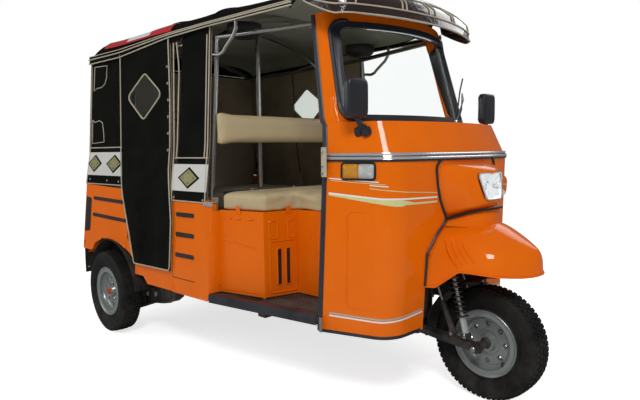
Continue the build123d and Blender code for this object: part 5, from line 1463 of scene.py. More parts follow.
drop_opening(screen_bead.data, 0.480)
for node, name, finish, slot in (("windscreen_frame", "screen_frame", orange, "orange_paint"),
                                 ("windscreen_seal", "screen_seal", rubber, "rubber"),
                                 ("windscreen_glass", "screen_glass", glass, "glass")):
    copy = Shape()
    copy.bm.from_mesh(nodes[node].data)
    drop_opening(copy.piece(name, finish, slot, replaces=[node]).data, 0.455)
print("screen opening drawn down by", SCREEN_DROP)

# %% [markdown]
# ## Pressings and slots in the body sides
# The steel sides carry slots with pressed lips, a narrow groove and a black strip at the tail. The slots are
# black plates and the groove is a black cord: painted shade for the depth of holes and a groove that are not
# cut. Each is laid on the panel's face, a millimetre proud, so that no hole has to be cut in the steel.

# %% Side slots
def slot_outline(x_low, x_high, middle_low, middle_high, half, segments=6):
    """A long slot with round ends between two points of its middle line."""
    made = []
    for x, z, start in ((x_high, middle_high, -90), (x_low, middle_low, 90)):
        made += [(x - (half if start < 0 else -half) + half * cos(radians(start + 180 * k / segments)),
                  z + half * sin(radians(start + 180 * k / segments))) for k in range(segments + 1)]
    return made


SIDE_SLOTS = [(-1.200, -0.786, 0.766, 0.757, 0.0125), (-1.200, -0.752, 0.6665, 0.654, 0.0125),
              (-0.308, -0.144, 0.727, 0.7275, 0.0130), (-0.303, -0.136, 0.6275, 0.6280, 0.0135),
              (-0.298, -0.129, 0.5255, 0.5260, 0.0130)]
# Black plates stand for the slots' depth: a painted shade, as the slots are not cut. The tail's black strip
# is on the same piece.
slot_shade_plates, slot_lips = Shape(), Shape()
for x_low, x_high, z_low, z_high, half in SIDE_SLOTS:
    outline = slot_outline(x_low, x_high, z_low, z_high, half)
    slot_shade_plates.plate([on_right(x, z, 0.0014) for x, z in outline], (0, 0.003, 0))
    slot_lips.tube([on_right(x, z, 0.0008) for x, z in outline], 0.0024, 6, closed=True)
tail_strip = rounded([(-1.291, 0.556), (-1.222, 0.566), (-1.222, 0.764), (-1.291, 0.772)], 0.008, 3)
slot_shade_plates.plate([on_right(p.x, p.y, 0.0016) for p in tail_strip], (0, 0.003, 0))
slot_shade_plates.both_sides().piece("side_slots", slot_black, "black_plastic")
slot_lips.both_sides().piece("side_slot_lips", orange, "orange_paint")
# A black cord lies in the pressed groove: a painted shade in the groove.
groove_shade_lines = [[on_right(x, z, 0.0004) for x, z in [(-0.345, 0.775), (-0.326, 0.590), (-0.309, 0.409)]
            + [(x, 0.409) for x in steps(-0.309, -0.120, 6)]]]
piping("side_grooves", groove_shade_lines, 0.0016, slot_black, "black_plastic")
side_faces = face_finder("side_panel_right")


def lower_edge(x_low, x_high, count):
    """The steel side's lower edge: at each place a row of rays goes down until one misses the panel."""
    made = []
    for x in steps(x_low, x_high, count):
        for z in steps(0.60, 0.30, 150):
            if side_faces.ray_cast(Vector((x, RIGHT_OF_ALL, z)), Vector((0, 1, 0)), 0.4)[0] is None:
                made.append(on_right(x, z + 0.002))
                break
    return made


lip_points, sill_points = lower_edge(-1.19, -0.60, 60), lower_edge(-0.60, -0.02, 30)
piping("arch_lips", [lip_points + sill_points[1:]], 0.0048, orange, "orange_paint")
print("slots and lips done; arch points", len(lip_points), len(sill_points))

# %% Jamb trim
clips = Shape().grid([[Vector((x, side_y(x, z, -1, 0.004 - 0.03 * max(0, k - 1)), z + 0.004 * (k > 0)))
                       for x in steps(-0.075, -0.004, 5)] for k, z in enumerate((0.781, 0.797, 0.799))])
clips.both_sides().piece("jamb_clips", chrome, "chrome_trim", modifiers=[solid(0.002)])

# %% [markdown]
# ## The seat box
# The box under the driver's seat is pressed sheet. Its faces have raised outlines, small vents and, in front,
# two upright slots, whose depth is a painted shade: black plates laid on the face. Points come from rays on
# its CAD faces.

# %% Seat box pressings
box_faces = face_finder("seat_box")
BEFORE_THE_BOX = 0.9


def box_side(x, z, proud=0.0):
    """A point on the seat box's right side."""
    return from_right(box_faces, x, z, proud)


def box_front(y, z, proud=0.0):
    """A point on the seat box's front."""
    return hit(box_faces, (BEFORE_THE_BOX, y, z), (0, y, z), proud)


raised, front_slot_shade = Shape(), Shape()
for x, half in ((0.062, 0.006), (0.112, 0.014), (0.182, 0.016)):
    raised.tube([box_side(x + half * t, 0.727 + 0.003 * (1 - abs(t)), 0.0012) for t in steps(-1, 1, 6)],
                0.0048, 8)
raised.tube([box_side(x, 0.6235 - 0.028 * ((x - 0.02) / 0.185) ** 1.6, 0.0) for x in steps(0.022, 0.205, 16)],
            0.0036, 8)
raised.tube([box_side(x, 0.388, 0.0) for x in steps(0.02, 0.215, 12)], 0.0022, 6)
for low, high, foot, top in ((-0.497, -0.362, 0.388, 0.628), (-0.500, -0.458, 0.640, 0.722),
                             (-0.404, -0.366, 0.640, 0.722)):
    ring = rounded(corners(low, high, foot, top), 0.012, 4)
    raised.tube([box_front(p.x, p.y, 0.0006) for p in ring], 0.0034, 8, closed=True)
raised.tube([box_side(0.364, z, 0.0) for z in steps(0.41, 0.735, 12)], 0.0026, 6)
# The two front slots are black plates: a painted shade for their depth, as they are not cut.
for y in (-0.4495, -0.4045):
    ring = rounded(corners(y - 0.012, y + 0.012, 0.420, 0.594), 0.010, 4)
    front_slot_shade.plate([box_front(p.x, p.y, 0.0012) for p in ring], (-0.003, 0, 0))
    raised.tube([box_front(p.x, p.y, 0.0010) for p in ring], 0.0034, 6, closed=True)
BOX_TOP = 0.764
for on_box, outline, thickness in (
        (box_side, [(0.100, 0.750), (0.126, 0.750), (0.122, 0.788), (0.104, 0.788)], (0, 0.002, 0)),
        (box_front, [(-0.418, 0.750), (-0.390, 0.750), (-0.394, 0.788), (-0.414, 0.788)], (-0.002, 0, 0))):
    raised.plate([on_box(p.x, min(p.y, BOX_TOP), 0.012 if p.y > 0.77 else 0.003)
                  + Vector((0, 0, max(0.0, p.y - BOX_TOP))) for p in rounded(outline, 0.003, 3)], thickness)
raised.both_sides().piece("seat_box_pressings", orange, "orange_paint")
front_slot_shade.both_sides().piece("seat_box_vents", slot_black, "black_plastic")
BOX_FOOT = 0.3695
base_line = ([box_side(x, BOX_FOOT, 0.002) for x in steps(0.002, 0.252, 10)]
             + [box_front(y, BOX_FOOT, 0.002) for y in steps(-0.52, -0.355, 8)]
             + [box_side(x, BOX_FOOT, 0.002) for x in steps(0.295, 0.45, 8)])
piping("seat_box_foot_seal", [[p for p in base_line if p]], 0.0035, slot_black, "rubber")
print("seat box pressed")

# %% [markdown]
# ## The floor
# A ribbed rubber mat lies on the floor, with a black rubber nosing along the open door. Geometry Nodes place
# the ribs: a line of points across the vehicle, one long bar on each.

# %% Row tree and floor mat
def row_tree(name):
    """Geometry Nodes: copies of an object at even steps along a line."""
    tree, takes, ids = new_tree(name, Count="Int", Start="Vector", Step="Vector", Stamp="Object")
    line = wire(tree, "GeometryNodeMeshLine", {"Count": takes.outputs["Count"],
                                               "Start Location": takes.outputs["Start"],
                                               "Offset": takes.outputs["Step"]}, mode="OFFSET")
    stamp = wire(tree, "GeometryNodeObjectInfo", {"Object": takes.outputs["Stamp"]})
    copies = wire(tree, "GeometryNodeInstanceOnPoints",
                  {"Points": line.outputs[0], "Instance": stamp.outputs["Geometry"]})
    end_tree(tree, takes, copies.outputs[0])
    return tree, ids


ROW, ROW_IDS = row_tree("along_a_line")


def row_of(name, shape, count, start, step, finish):
    """Copies of a small shape along a line, as one mesh object."""
    stamp = stamp_object(name + "_stamp", shape)
    made = run_tree(name, ROW, ROW_IDS, {"Count": count, "Start": start, "Step": step, "Stamp": stamp,
                                         "Finish": finish})
    bpy.data.objects.remove(stamp)
    return made


floor_faces = face_finder("floor_pan")
RIB_PROFILE = [(-0.006, 0), (-0.0035, 0.0028), (0.0035, 0.0028), (0.006, 0)]
RIB_STEP, MAT_TOP = 0.024, 0.3655
rows = []
for name, half, count, start in (("front_ribs", 0.275, 45, (0.31, -0.528, MAT_TOP)),
                                 ("rear_ribs", 0.255, 50, (-0.28, -0.588, MAT_TOP))):
    rib = Shape().grid([[Vector((x, y, z)) for y, z in RIB_PROFILE] for x in (-half, half)], ends=True)
    rows.append(row_of(name, rib, count, Vector(start), Vector((0, RIB_STEP, 0)), mat_rubber))
dress(join("floor_mat_ribs", rows), mat_rubber)
#           inset, height
NOSING = [(0.004, 0.329), (-0.0035, 0.331), (-0.005, 0.350), (-0.0025, 0.3675), (0.006, 0.3705),
          (0.028, 0.3690), (0.030, 0.3655)]
nosing_rows = []
for x in steps(-0.004, 0.612, 24):
    face = from_right(floor_faces, x, 0.350)
    if face:
        nosing_rows.append([Vector((x, face.y + inset, z)) for inset, z in NOSING])
Shape().grid(nosing_rows).both_sides().piece("floor_nosing", rubber, "rubber", modifiers=[solid(0.0015, 1)])
print("floor covered")

# %% [markdown]
# ## Wheels in detail
# The rims get rolled steps, lips round their holes, a hub and a valve. The front wheel's links, coil springs
# and dampers follow; the coil is a spiral curve made solid by Geometry Nodes.

# %% Rim steps, hole lips and hubs
RIM_STEPS = [(0.1425, 0.0400), (0.1415, 0.0445), (0.1385, 0.0468), (0.1345, 0.0460), (0.1315, 0.0425),
             (0.1255, 0.0405), (0.1220, 0.0375), (0.1185, 0.0360), (0.1145, 0.0300), (0.1120, 0.0230),
             (0.1090, 0.0175), (0.1050, 0.0165), (0.1010, 0.0185), (0.0970, 0.0175), (0.0940, 0.0135),
             (0.0920, 0.0120), (0.1120, 0.0110), (0.1130, 0.0400)]
HOLE_CIRCLE, HOLE_LIP, HUB_END = 0.078, 0.0118, 0.030
for label, (centre, body, face) in WHEELS.items():
    steps_shape = Shape().turned([(radius, face * along_y) for radius, along_y in RIM_STEPS], centre, 72)
    steps_shape.turned([(0.050, face * 0.0118), (0.0515, face * 0.0150), (0.0545, face * 0.0150),
                        (0.056, face * 0.0118)], centre, 48)
    steps_shape.piece(f"rim_steps_{label}", silver, "rim_silver", body, smooth=40)
    lip = Shape()
    lip.tube([Vector((HOLE_LIP * cos(2 * pi * k / 16), 0, HOLE_LIP * sin(2 * pi * k / 16)))
              for k in range(16)], 0.0024, 6, closed=True)
    stamp = stamp_object("hole_lip", lip)
    lips = run_tree(f"hole_lips_{label}", RING, RING_IDS,
                    {"Count": 8, "Radius": HOLE_CIRCLE, "Centre": centre + Vector((0, face * 0.0122, 0)),
                     "Start Angle": pi / 2, "Stamp": stamp, "Finish": silver})
    bpy.data.objects.remove(stamp)
    dress(lips, silver, body)
    bolt = Shape().knob([(0.0, 0.0), (0.0085, 0.0), (0.0085, face * 0.007), (0.0055, face * 0.0095),
                         (0.0, face * 0.010)], (0, 0, 0), 6)
    stamp = stamp_object("wheel_nut", bolt)
    count, circle, proud = (8, HOLE_CIRCLE, 0.0040) if label == "front" else (5, 0.046, 0.0118)
    nuts = run_tree(f"wheel_nuts_{label}", RING, RING_IDS,
                    {"Count": count, "Radius": circle, "Centre": centre + Vector((0, face * proud, 0)),
                     "Start Angle": pi / 2, "Stamp": stamp, "Finish": tube_steel})
    bpy.data.objects.remove(stamp)
    dress(nuts, tube_steel, body)
    cap = 0.026 if label == "front" else 0.024
    hub = Shape().knob([(0.0, face * 0.026), (cap, face * 0.012), (cap * 0.98, face * 0.028),
                        (cap * 0.85, face * (HUB_END + 0.004)), (cap * 0.6, face * (HUB_END + 0.008)),
                        (cap * 0.55, face * (HUB_END + 0.014)), (0.0, face * (HUB_END + 0.016))], centre,
                       32 if label == "front" else 6)
    hub.piece(f"hub_{label}", slot_black if label == "front" else hub_red, "black_paint", body)
    valve_place = centre + Vector((0.0700, face * 0.014, -0.0700))
    valve = Shape().tube([valve_place, valve_place + Vector((0.003, face * 0.012, -0.003)),
                          valve_place + Vector((0.010, face * 0.026, -0.010))], [0.005, 0.0042, 0.0034], 10)
    valve.piece(f"valve_{label}", slot_black, "rubber", body)
print("rims finished")

# %% Coil springs
def coil_tree(name):
    """Geometry Nodes: a round wire wound into a coil, placed and turned."""
    tree, takes, ids = new_tree(name, Turns="Float", Radius="Float", Wire="Float", Length="Float",
                                Place="Vector", Turn="Vector")
    spiral = wire(tree, "GeometryNodeCurveSpiral", {
        "Resolution": 20, "Rotations": takes.outputs["Turns"], "Start Radius": takes.outputs["Radius"],
        "End Radius": takes.outputs["Radius"], "Height": takes.outputs["Length"]})
    ring = wire(tree, "GeometryNodeCurvePrimitiveCircle", {"Resolution": 8, "Radius": takes.outputs["Wire"]})
    wound = wire(tree, "GeometryNodeCurveToMesh",
                 {"Curve": spiral.outputs[0], "Profile Curve": ring.outputs[0], "Fill Caps": True})
    placed = wire(tree, "GeometryNodeTransform", {"Geometry": wound.outputs[0],
                                                  "Translation": takes.outputs["Place"],
                                                  "Rotation": takes.outputs["Turn"]})
    end_tree(tree, takes, placed.outputs[0])
    return tree, ids


COIL, COIL_IDS = coil_tree("wound_wire")
spring_steel = material("spring_steel", (0.09, 0.09, 0.095), 0.22, ripple(160.0), 0.0005, dirt=0.2,
                        Metallic=0.9, Coat_Weight=0.3)

# %% Springs and dampers
LINK_SPAN = 0.104
SPRING_LINE = (Vector((1.035, 0, 0.268)), Vector((0.962, 0, 0.545)))
DAMPER_LINE = (Vector((0.972, 0, 0.268)), Vector((0.858, 0, 0.545)))


def on_line(line, share, y):
    """A point part of the way along a line, at the given side."""
    point = line[0].lerp(line[1], share)
    return Vector((point.x, y, point.z))


lean = (SPRING_LINE[1] - SPRING_LINE[0]).normalized()
tilt = Vector((0, 0, 1)).rotation_difference(lean).to_euler()
coils, dampers, darks, bolts = [], Shape(), Shape(), Shape()
for hand in (-1, 1):
    y = hand * LINK_SPAN
    coils.append(run_tree(f"coil_{hand}", COIL, COIL_IDS,
                          {"Turns": 9.5, "Radius": 0.0225, "Wire": 0.0043, "Length": 0.190,
                           "Place": on_line(SPRING_LINE, 0.30, y), "Turn": Vector(tilt),
                           "Finish": spring_steel}))
    dampers.tube([on_line(SPRING_LINE, s, y) for s in (0.05, 0.06, 0.33, 0.34)],
                 [0.008, 0.015, 0.015, 0.010], 16)
    dampers.tube([on_line(SPRING_LINE, s, y) for s in (0.30, 0.98)], 0.0080, 12)
    dampers.tube([on_line(DAMPER_LINE, s, y) for s in (0.42, 0.98)], 0.0050, 10)
    darks.tube([on_line(SPRING_LINE, s, y) for s in (0.285, 0.290, 0.302, 0.306)],
               [0.018, 0.028, 0.028, 0.020], 20)
    darks.tube([on_line(SPRING_LINE, s, y) for s in (0.955, 0.960, 0.990, 1.0)],
               [0.018, 0.029, 0.029, 0.020], 20)
    darks.tube([on_line(DAMPER_LINE, s, y) for s in (0.03, 0.05, 0.46, 0.48)],
               [0.008, 0.0130, 0.0130, 0.008], 14)
    darks.tube([on_line(DAMPER_LINE, s, y) for s in (0.88, 0.90, 1.0)], [0.007, 0.0110, 0.0110], 14)
    for line in (SPRING_LINE, DAMPER_LINE):
        darks.knob([(0.0, -0.014), (0.0150, -0.014), (0.0150, 0.014), (0.0, 0.014)],
                   on_line(line, 0.02, y), 18)
        bolts.knob([(0.0, hand * 0.012), (0.0095, hand * 0.012), (0.0095, hand * 0.018),
                    (0.005, hand * 0.0215), (0.0, hand * 0.022)], on_line(line, 0.02, y + hand * 0.004), 8)
    bolts.knob([(0.0, hand * 0.010), (0.0135, hand * 0.010), (0.0135, hand * 0.020), (0.008, hand * 0.0245),
                (0.0, hand * 0.025)], (FRONT_AXLE_X, y + hand * 0.014, TYRE_R), 10)
dress(join("coil_springs", coils), spring_steel, "steering", replaces=["front_springs"])
dampers.piece("damper_rods", chrome, "chrome_trim", "steering")
darks.piece("damper_bodies", black_paint, "black_paint", "steering")
bolts.piece("suspension_bolts", tube_steel, "bright_tube", "steering")

# %% Leading links and castings
links = Shape()
for hand in (-1, 1):
    y = hand * LINK_SPAN
    links.tube([(0.780, y, 0.259), (0.800, y, 0.2575), (0.900, y, 0.250), (1.050, y, 0.2375),
                (1.092, y, 0.2345), (1.101, y, 0.234)], [0.017, 0.019, 0.0225, 0.0215, 0.0215, 0.012], 16,
               squash=0.9)
    links.knob([(0.0, -0.014), (0.026, -0.014), (0.028, -0.010), (0.028, 0.010), (0.026, 0.014),
                (0.0, 0.014)], (0.790, y, 0.258), 24)
    links.knob([(0.0, -0.020), (0.022, -0.020), (0.022, 0.020), (0.0, 0.020)], (FRONT_AXLE_X, y, TYRE_R), 20)
links.tube([(0.767, 0, 0.252), (0.767, 0, 0.300), (0.767, 0, 0.530)], [0.0262, 0.0258, 0.0258], 20)
links.piece("fork_castings", black_paint, "black_paint", "steering")
print("front suspension built")

# %% [markdown]
# ## Under the body
# Black liners close the wheel arches, trailing arms lead to the rear wheels, and a rubber flap hangs behind
# each. The engine gets its cooling fins and a silencer.

# %% Wheel-house liners
LINER_R, LINER_IN = 0.300, 0.596
liner = Shape().grid([[Vector((REAR_AXLE_X + LINER_R * cos(radians(a)), -y,
                               TYRE_R + LINER_R * sin(radians(a)))) for a in range(8, 163, 7)]
                      for y in (0.712, 0.690, 0.640, LINER_IN)])
liner.both_sides().piece("wheel_liners", slot_black, "black_plastic", modifiers=[solid(0.003)])
inner = Shape()
inner.plate([Vector((x, -LINER_IN, z)) for x, z in ((-1.285, 0.345), (-1.240, 0.300), (-0.640, 0.290),
                                                    (-0.560, 0.345), (-0.560, 0.500), (-0.660, 0.600),
                                                    (-1.285, 0.600))], (0, 0.004, 0))
for x in steps(-1.2, -0.64, 7):
    inner.tube([(x, -LINER_IN - 0.001, 0.315), (x + 0.004, -LINER_IN - 0.002, 0.585)], 0.006, 6)
inner.both_sides().piece("wheel_house_walls", slot_black, "black_plastic")

# %% Trailing arms
arms = Shape()
ARM_SIDE = [(-1.000, 0.170), (-0.960, 0.118), (-0.900, 0.113), (-0.820, 0.140), (-0.714, 0.178),
            (-0.620, 0.192), (-0.534, 0.212), (-0.480, 0.245), (-0.480, 0.325), (-0.700, 0.325),
            (-0.900, 0.300), (-0.990, 0.260)]
arms.plate([Vector((x, -0.560, z)) for x, z in ARM_SIDE], (0, 0.050, 0))
for k, (x, z) in enumerate(ARM_SIDE[:-3]):
    if k:
        arms.tube([(x, -0.562, z + 0.010), (x - 0.010, -0.562, z + 0.10)], 0.005, 6)
arms.tube([(x, -0.562, z + 0.004) for x, z in ARM_SIDE[1:8]], 0.008, 8)
arms.both_sides().piece("trailing_arms", black_paint, "black_paint", smooth=30)
clamps = Shape()
for x, z in ((-0.800, 0.215), (-0.700, 0.228)):
    clamps.plate([Vector((x + a, -0.566, z + b)) for a, b in
                  ((-0.009, -0.014), (0.009, -0.011), (0.009, 0.015), (-0.009, 0.012))], (0, 0.006, 0))
    clamps.knob([(0.0, 0.0), (0.0045, 0.0), (0.0045, 0.004), (0.0, 0.005)], (x, -0.567, z), 8, RIGHTWARD)
clamps.both_sides().piece("arm_clamps", cream, "white_belt")

# %% Rear mudflaps
flap_rows_rear = []
for z in steps(0.500, 0.297, 12):
    flap_rows_rear.append([Vector((-1.284 - 0.004 * sin((0.5 - z) * 12) - 0.003 * cos(y * 30), y, z))
                           for y in steps(-0.722, -0.520, 8)])
Shape().grid(flap_rows_rear).both_sides().piece("rear_mudflaps", slot_black, "rubber", replaces=["mudflaps"],
                                                modifiers=[solid(0.005)])
rivets = Shape()
for y, z in ((-0.705, 0.462), (-0.705, 0.330), (-0.54, 0.462)):
    for x, axis in ((-1.2765, FORWARD), (-1.2925, BACKWARD)):
        rivets.knob([(0.0, 0.0), (0.006, 0.0), (0.005, 0.002), (0.0, 0.003)], (x, y, z), 10, axis)
rivets.both_sides().piece("mudflap_rivets", cream, "cream_piping")

# %% Engine fins and silencer
fin = Shape().grid([[Vector((x, y, z)) for x, z in ((-0.115, -0.10), (0.115, -0.10), (0.125, 0.0),
                                                    (0.115, 0.10), (-0.115, 0.10), (-0.125, 0.0))]
                    for y in (-0.0022, 0.0022)], around=True, ends=True)
dress(row_of("engine_fins", fin, 17, Vector((-1.035, -0.225, 0.300)), Vector((0, 0.028, 0)), cast), cast)
SILENCER_X, SILENCER_Z = -1.205, 0.235
silencer = Shape()
silencer.tube([(SILENCER_X, y, SILENCER_Z) for y in (0.060, 0.070, 0.085, 0.380, 0.395, 0.405)],
              [0.020, 0.040, 0.048, 0.048, 0.040, 0.016], 24)
silencer.tube([(-1.080, -0.06, 0.240), (-1.150, -0.05, 0.225), (-1.195, 0.000, 0.230),
               (SILENCER_X, 0.075, SILENCER_Z)], 0.016, 12)
silencer.tube([(SILENCER_X, 0.395, SILENCER_Z), (-1.212, 0.420, 0.230), (-1.240, 0.435, 0.222),
               (-1.290, 0.438, 0.215)], 0.013, 12)
for y in (0.14, 0.32):
    silencer.turned([(0.0485, -0.010), (0.0510, -0.010), (0.0510, 0.010), (0.0485, 0.010)],
                    (SILENCER_X, y, SILENCER_Z), 32)
silencer.piece("silencer", exhaust_steel, "cast_metal")
print("underside done")

# %% [markdown]
# ## Body joints between the parts
# A return closes each side panel's front edge, a filler lies under the canvas flap, and small fittings
# sit on the jamb. Then come the trims inside the panels and the tape on the roof's shoulders.

# %% Jamb returns and flap fillers
returns = Shape().grid([[Vector((x, y, z)) for x, y in
                         ((-0.0105, side_y(-0.0105, z, -1, 0.0005)),
                          (-0.0085, side_y(-0.01, z, -1, 0.002)),
                          (-0.0040, side_y(-0.01, z, -1, -0.006)), (0.0005, -0.5930), (0.0, -0.5880))]
                        for z in steps(0.372, 0.762, 10)])
returns.both_sides().piece("jamb_returns", orange, "orange_paint", modifiers=[solid(0.002)])
corner_line = [[on_right(-0.047 + 0.046 * (0.808 - z) / 0.47, z, 0.0002) for z in steps(0.345, 0.806, 16)]]
piping("panel_fold", corner_line, 0.0016, orange, "orange_paint")
fasteners("jamb_plugs", [(0.0, 0.0), (0.0050, 0.0), (0.0050, 0.0022), (0.0, 0.0022)],
          [(-0.0015, -0.603, 0.402)], 12, (0.4, -1, 0), slot_black, "black_plastic")
filler = Shape()
filler.grid([[on_right(x, z, -0.0015) for x in steps(-0.680, -0.312, 12)]
             for z in (0.372, 0.400, 0.430, 0.470)])
filler.grid([[on_right(x, z, -0.0015) for x in (-0.352, -0.338, -0.322)] for z in steps(0.40, 0.80, 10)])
filler.both_sides().piece("flap_fillers", orange, "orange_paint", modifiers=[solid(0.002)])
print("joints closed")

# %% Inner side trims
trims = Shape()
trims.grid([[on_right(x, z, -0.034) for x in steps(-0.335, -0.014, 6)] for z in steps(0.372, 0.822, 8)])
trims.grid([[on_right(x, z, -0.034) for x in steps(-1.290, -0.720, 10)] for z in steps(0.600, 0.885, 5)])
trims.both_sides().piece("inner_side_trims", lining_brown, "black_canvas", modifiers=[solid(0.002)])

# %% Roof shoulder tape
tape, label = Shape(), Shape()
for shape, x_low, x_high, low, high, proud in ((tape, -1.120, -0.415, -0.880, -0.690, 0.0050),
                                                (label, -0.860, -0.620, -0.850, -0.730, 0.0070)):
    shape.grid([[roof_point(x, share, 0.0) + Vector((0, -proud, proud)) for share in steps(low, high, 4)]
                for x in steps(x_low, x_high, 40)])
tape.both_sides().piece("roof_shoulder_tape", red_tape, "maroon_vinyl", modifiers=[solid(0.0008)])
label.both_sides().piece("roof_shoulder_label", stripe_white, "white_belt", modifiers=[solid(0.0008)])

# %% [markdown]
# ## The tail
# The rear curtain is a sheet with a window, framed with piping. Below it are the lamps, a louvred lid over
# the engine and a blank plate. The canvas over the cab is laid in the same way, so it is here too.

# %% Rear curtain
REAR_X, REAR_HALF, REAR_FOOT, REAR_TOP = -1.2985, 0.672, 0.852, 1.599
WINDOW_HALF, WINDOW_LOW, WINDOW_HIGH = 0.352, 1.136, 1.434
REAR_TAPER, TAPER_FROM, TAPER_RUN = 0.075, 0.4, 0.272


def rear_point(y, z, proud=0.0):
    """A point on the rear curtain, which narrows to the top and has soft folds."""
    taper = REAR_TAPER * (z - REAR_FOOT) / (REAR_TOP - REAR_FOOT)
    narrow = 1 - taper * (abs(y) > TAPER_FROM) * (abs(y) - TAPER_FROM) / TAPER_RUN
    fold = (0.0014 * noise.noise(Vector((y * 9, z * 2.4, 6.0)))
            + 0.0006 * noise.noise(Vector((y * 21, z * 6, 2.0))))
    return Vector((REAR_X - proud - fold * (abs(y) < 0.64), y * narrow, z))


y_lines = sorted(set([round(v, 4) for v in steps(-REAR_HALF, -WINDOW_HALF, 10)
                      + steps(-WINDOW_HALF, WINDOW_HALF, 24)
                      + steps(WINDOW_HALF, REAR_HALF, 10)]))
z_lines = sorted(set([round(v, 4) for v in steps(REAR_FOOT, WINDOW_LOW, 10)
                      + steps(WINDOW_LOW, WINDOW_HIGH, 10)
                      + steps(WINDOW_HIGH, REAR_TOP, 8)]))
rear_rows = [[rear_point(y, z) for y in y_lines] for z in z_lines]
rear_sheet = Shape().grid(rear_rows)
middles = [(face, face.calc_center_median()) for face in rear_sheet.bm.faces]
gone = [face for face, middle in middles if abs(middle.y) < WINDOW_HALF
        and WINDOW_LOW < middle.z < WINDOW_HIGH]
bmesh.ops.delete(rear_sheet.bm, geom=gone, context="FACES")
rear_canvas = rear_sheet.piece("rear_curtain_canvas", canvas, "black_canvas", replaces=["rear_curtain"],
                               modifiers=[solid(0.003)])
frame_ring = rounded(corners(-0.362, 0.362, 1.126, 1.444), 0.03)
hem = [rear_point(y, 0.858, 0.003) for y in steps(-0.668, 0.668, 30)]
piping("rear_piping", [[rear_point(p.x, p.y, 0.002) for p in frame_ring + frame_ring[:1]], hem,
                       [rear_point(y, 1.071, 0.003) for y in steps(-0.660, 0.660, 30)]], mirrored=False)

# %% Rear belt and blind
rear_belt, rear_patch, rear_border = Shape(), Shape(), Shape()
rear_belt.grid([[rear_point(y, z, 0.0035) for y in steps(-0.664, 0.664, 30)] for z in steps(0.905, 1.043, 5)])
for y in (-0.42, 0.0, 0.42):
    for shape, scale, proud in ((rear_border, 1.0, 0.0055), (rear_patch, 0.80, 0.0072)):
        shape.plate([rear_point(y + 0.092 * scale * a, 0.974 + 0.054 * scale * b, proud)
                     for a, b in DIAMOND_SHAPE], (0.003, 0, 0))
rear_belt.piece("rear_belt_band", white_belt, "white_belt", modifiers=[solid(0.002)])
rear_border.piece("rear_diamond_borders", canvas, "black_canvas")
rear_patch.piece("rear_diamond_patches", gold, "white_belt")
blind_rows = [[rear_point(y, z, -0.010) for y in steps(-0.650, 0.650, 20)] for z in steps(0.870, 1.585, 16)]
blind = Shape().grid(blind_rows).piece("rear_blind", lining_brown, "black_canvas", modifiers=[solid(0.0015)])
declare(blind_rows)
print("rear curtain hung")

# %% Canvas over the cab
cab_rows = []
for t in steps(0, 1, 8):
    bulge = Vector((0, 0, 0.004 * sin(pi * t)))
    cab_rows.append([a.lerp(roof_point(0.425, 0.985 * i / 48, 0.003), t) + bulge
                     for i, a in zip(range(-48, 49), crown_row)])
cab_top = Shape().grid(cab_rows).piece("cab_top_canvas", canvas, "black_canvas", modifiers=[solid(0.003)])
declare(cab_rows)

# %% Tail lamps and reflectors
TAIL_FACE, LID_FACE = -1.3103, -1.3143
rims, lenses, screws = Shape(), Shape(), Shape()
for y in (-0.632, 0.632):
    ring = rounded(corners(y - 0.024, y + 0.024, 0.617, 0.783), 0.008, 4)
    rims.tube([Vector((-1.3125, p.x, p.y)) for p in ring], 0.0042, 8, closed=True)
    for z in (0.672, 0.727):
        rims.tube([(-1.3155, y - 0.022, z), (-1.3155, y + 0.022, z)], 0.0018, 6)
    for k in range(9):
        z = 0.732 + 0.0055 * k
        lenses.tube([(-1.3152, y - 0.019, z), (-1.3152, y + 0.019, z)], 0.0014, 6)
    for z in (0.650, 0.752):
        screws.knob([(0.0, 0.0), (0.0035, 0.0), (0.003, 0.0016), (0.0, 0.002)], (-1.3160, y, z), 8, BACKWARD)
rims.piece("tail_lamp_rims", rubber, "black_plastic")
lenses.piece("tail_lamp_ambers", amber, "amber_lens")
screws.piece("tail_lamp_screws", chrome, "chrome_trim")
fasteners("rear_reflectors", [(0.0, 0.0), (0.026, 0.0), (0.026, 0.004), (0.022, 0.007), (0.0, 0.0085)],
          [(TAIL_FACE, y, 0.560) for y in (-0.530, 0.530)], 28, BACKWARD, red_lens, "red_lens",
          mirrored=False)

# %% Engine lid and blank plate
LOUVRE_PROFILE = [(0.001, 0.010), (-0.0030, 0.0085), (-0.0085, 0.000), (-0.0085, -0.003), (0.001, -0.004)]
banks = []
for k, middle in enumerate((-0.155, 0.155)):
    louvre = Shape().grid([[Vector((x, y, z)) for x, z in LOUVRE_PROFILE] for y in steps(-0.105, 0.105, 10)],
                          ends=True)
    banks.append(row_of(f"louvres_{k}", louvre, 6,
                        Vector((LID_FACE, middle, 0.515)), Vector((0, 0, 0.021)), orange))
dress(join("lid_louvres", banks), orange, "rear_lid")
pressed = Shape().tube([Vector((LID_FACE + 0.0005, p.x, p.y))
                        for p in rounded(corners(-0.302, 0.302, 0.500, 0.770), 0.03)], 0.0032, 8, closed=True)
pressed.piece("lid_pressing", orange, "orange_paint", "rear_lid")
plate = Shape().block((LID_FACE - 0.0025, 0, 0.702), (0.0030, 0.230, 0.100), bevel=0.0008)
plate.piece("blank_plate", stripe_white, "white_belt", "rear_lid")
plate_rim = Shape().tube([Vector((LID_FACE - 0.003, p.x, p.y))
                          for p in rounded(corners(-0.118, 0.118, 0.649, 0.755), 0.006, 4)], 0.0030, 8,
                         closed=True)
plate_rim.piece("plate_rim", slot_black, "black_plastic", "rear_lid")
latch = Shape()
latch.knob([(0.0, 0.0), (0.017, 0.0), (0.016, 0.005), (0.0, 0.006)], (LID_FACE, 0, 0.525), 24, BACKWARD)
latch.tube([(LID_FACE - 0.008, -0.012, 0.525), (LID_FACE - 0.0085, 0.012, 0.525)], 0.004, 10)
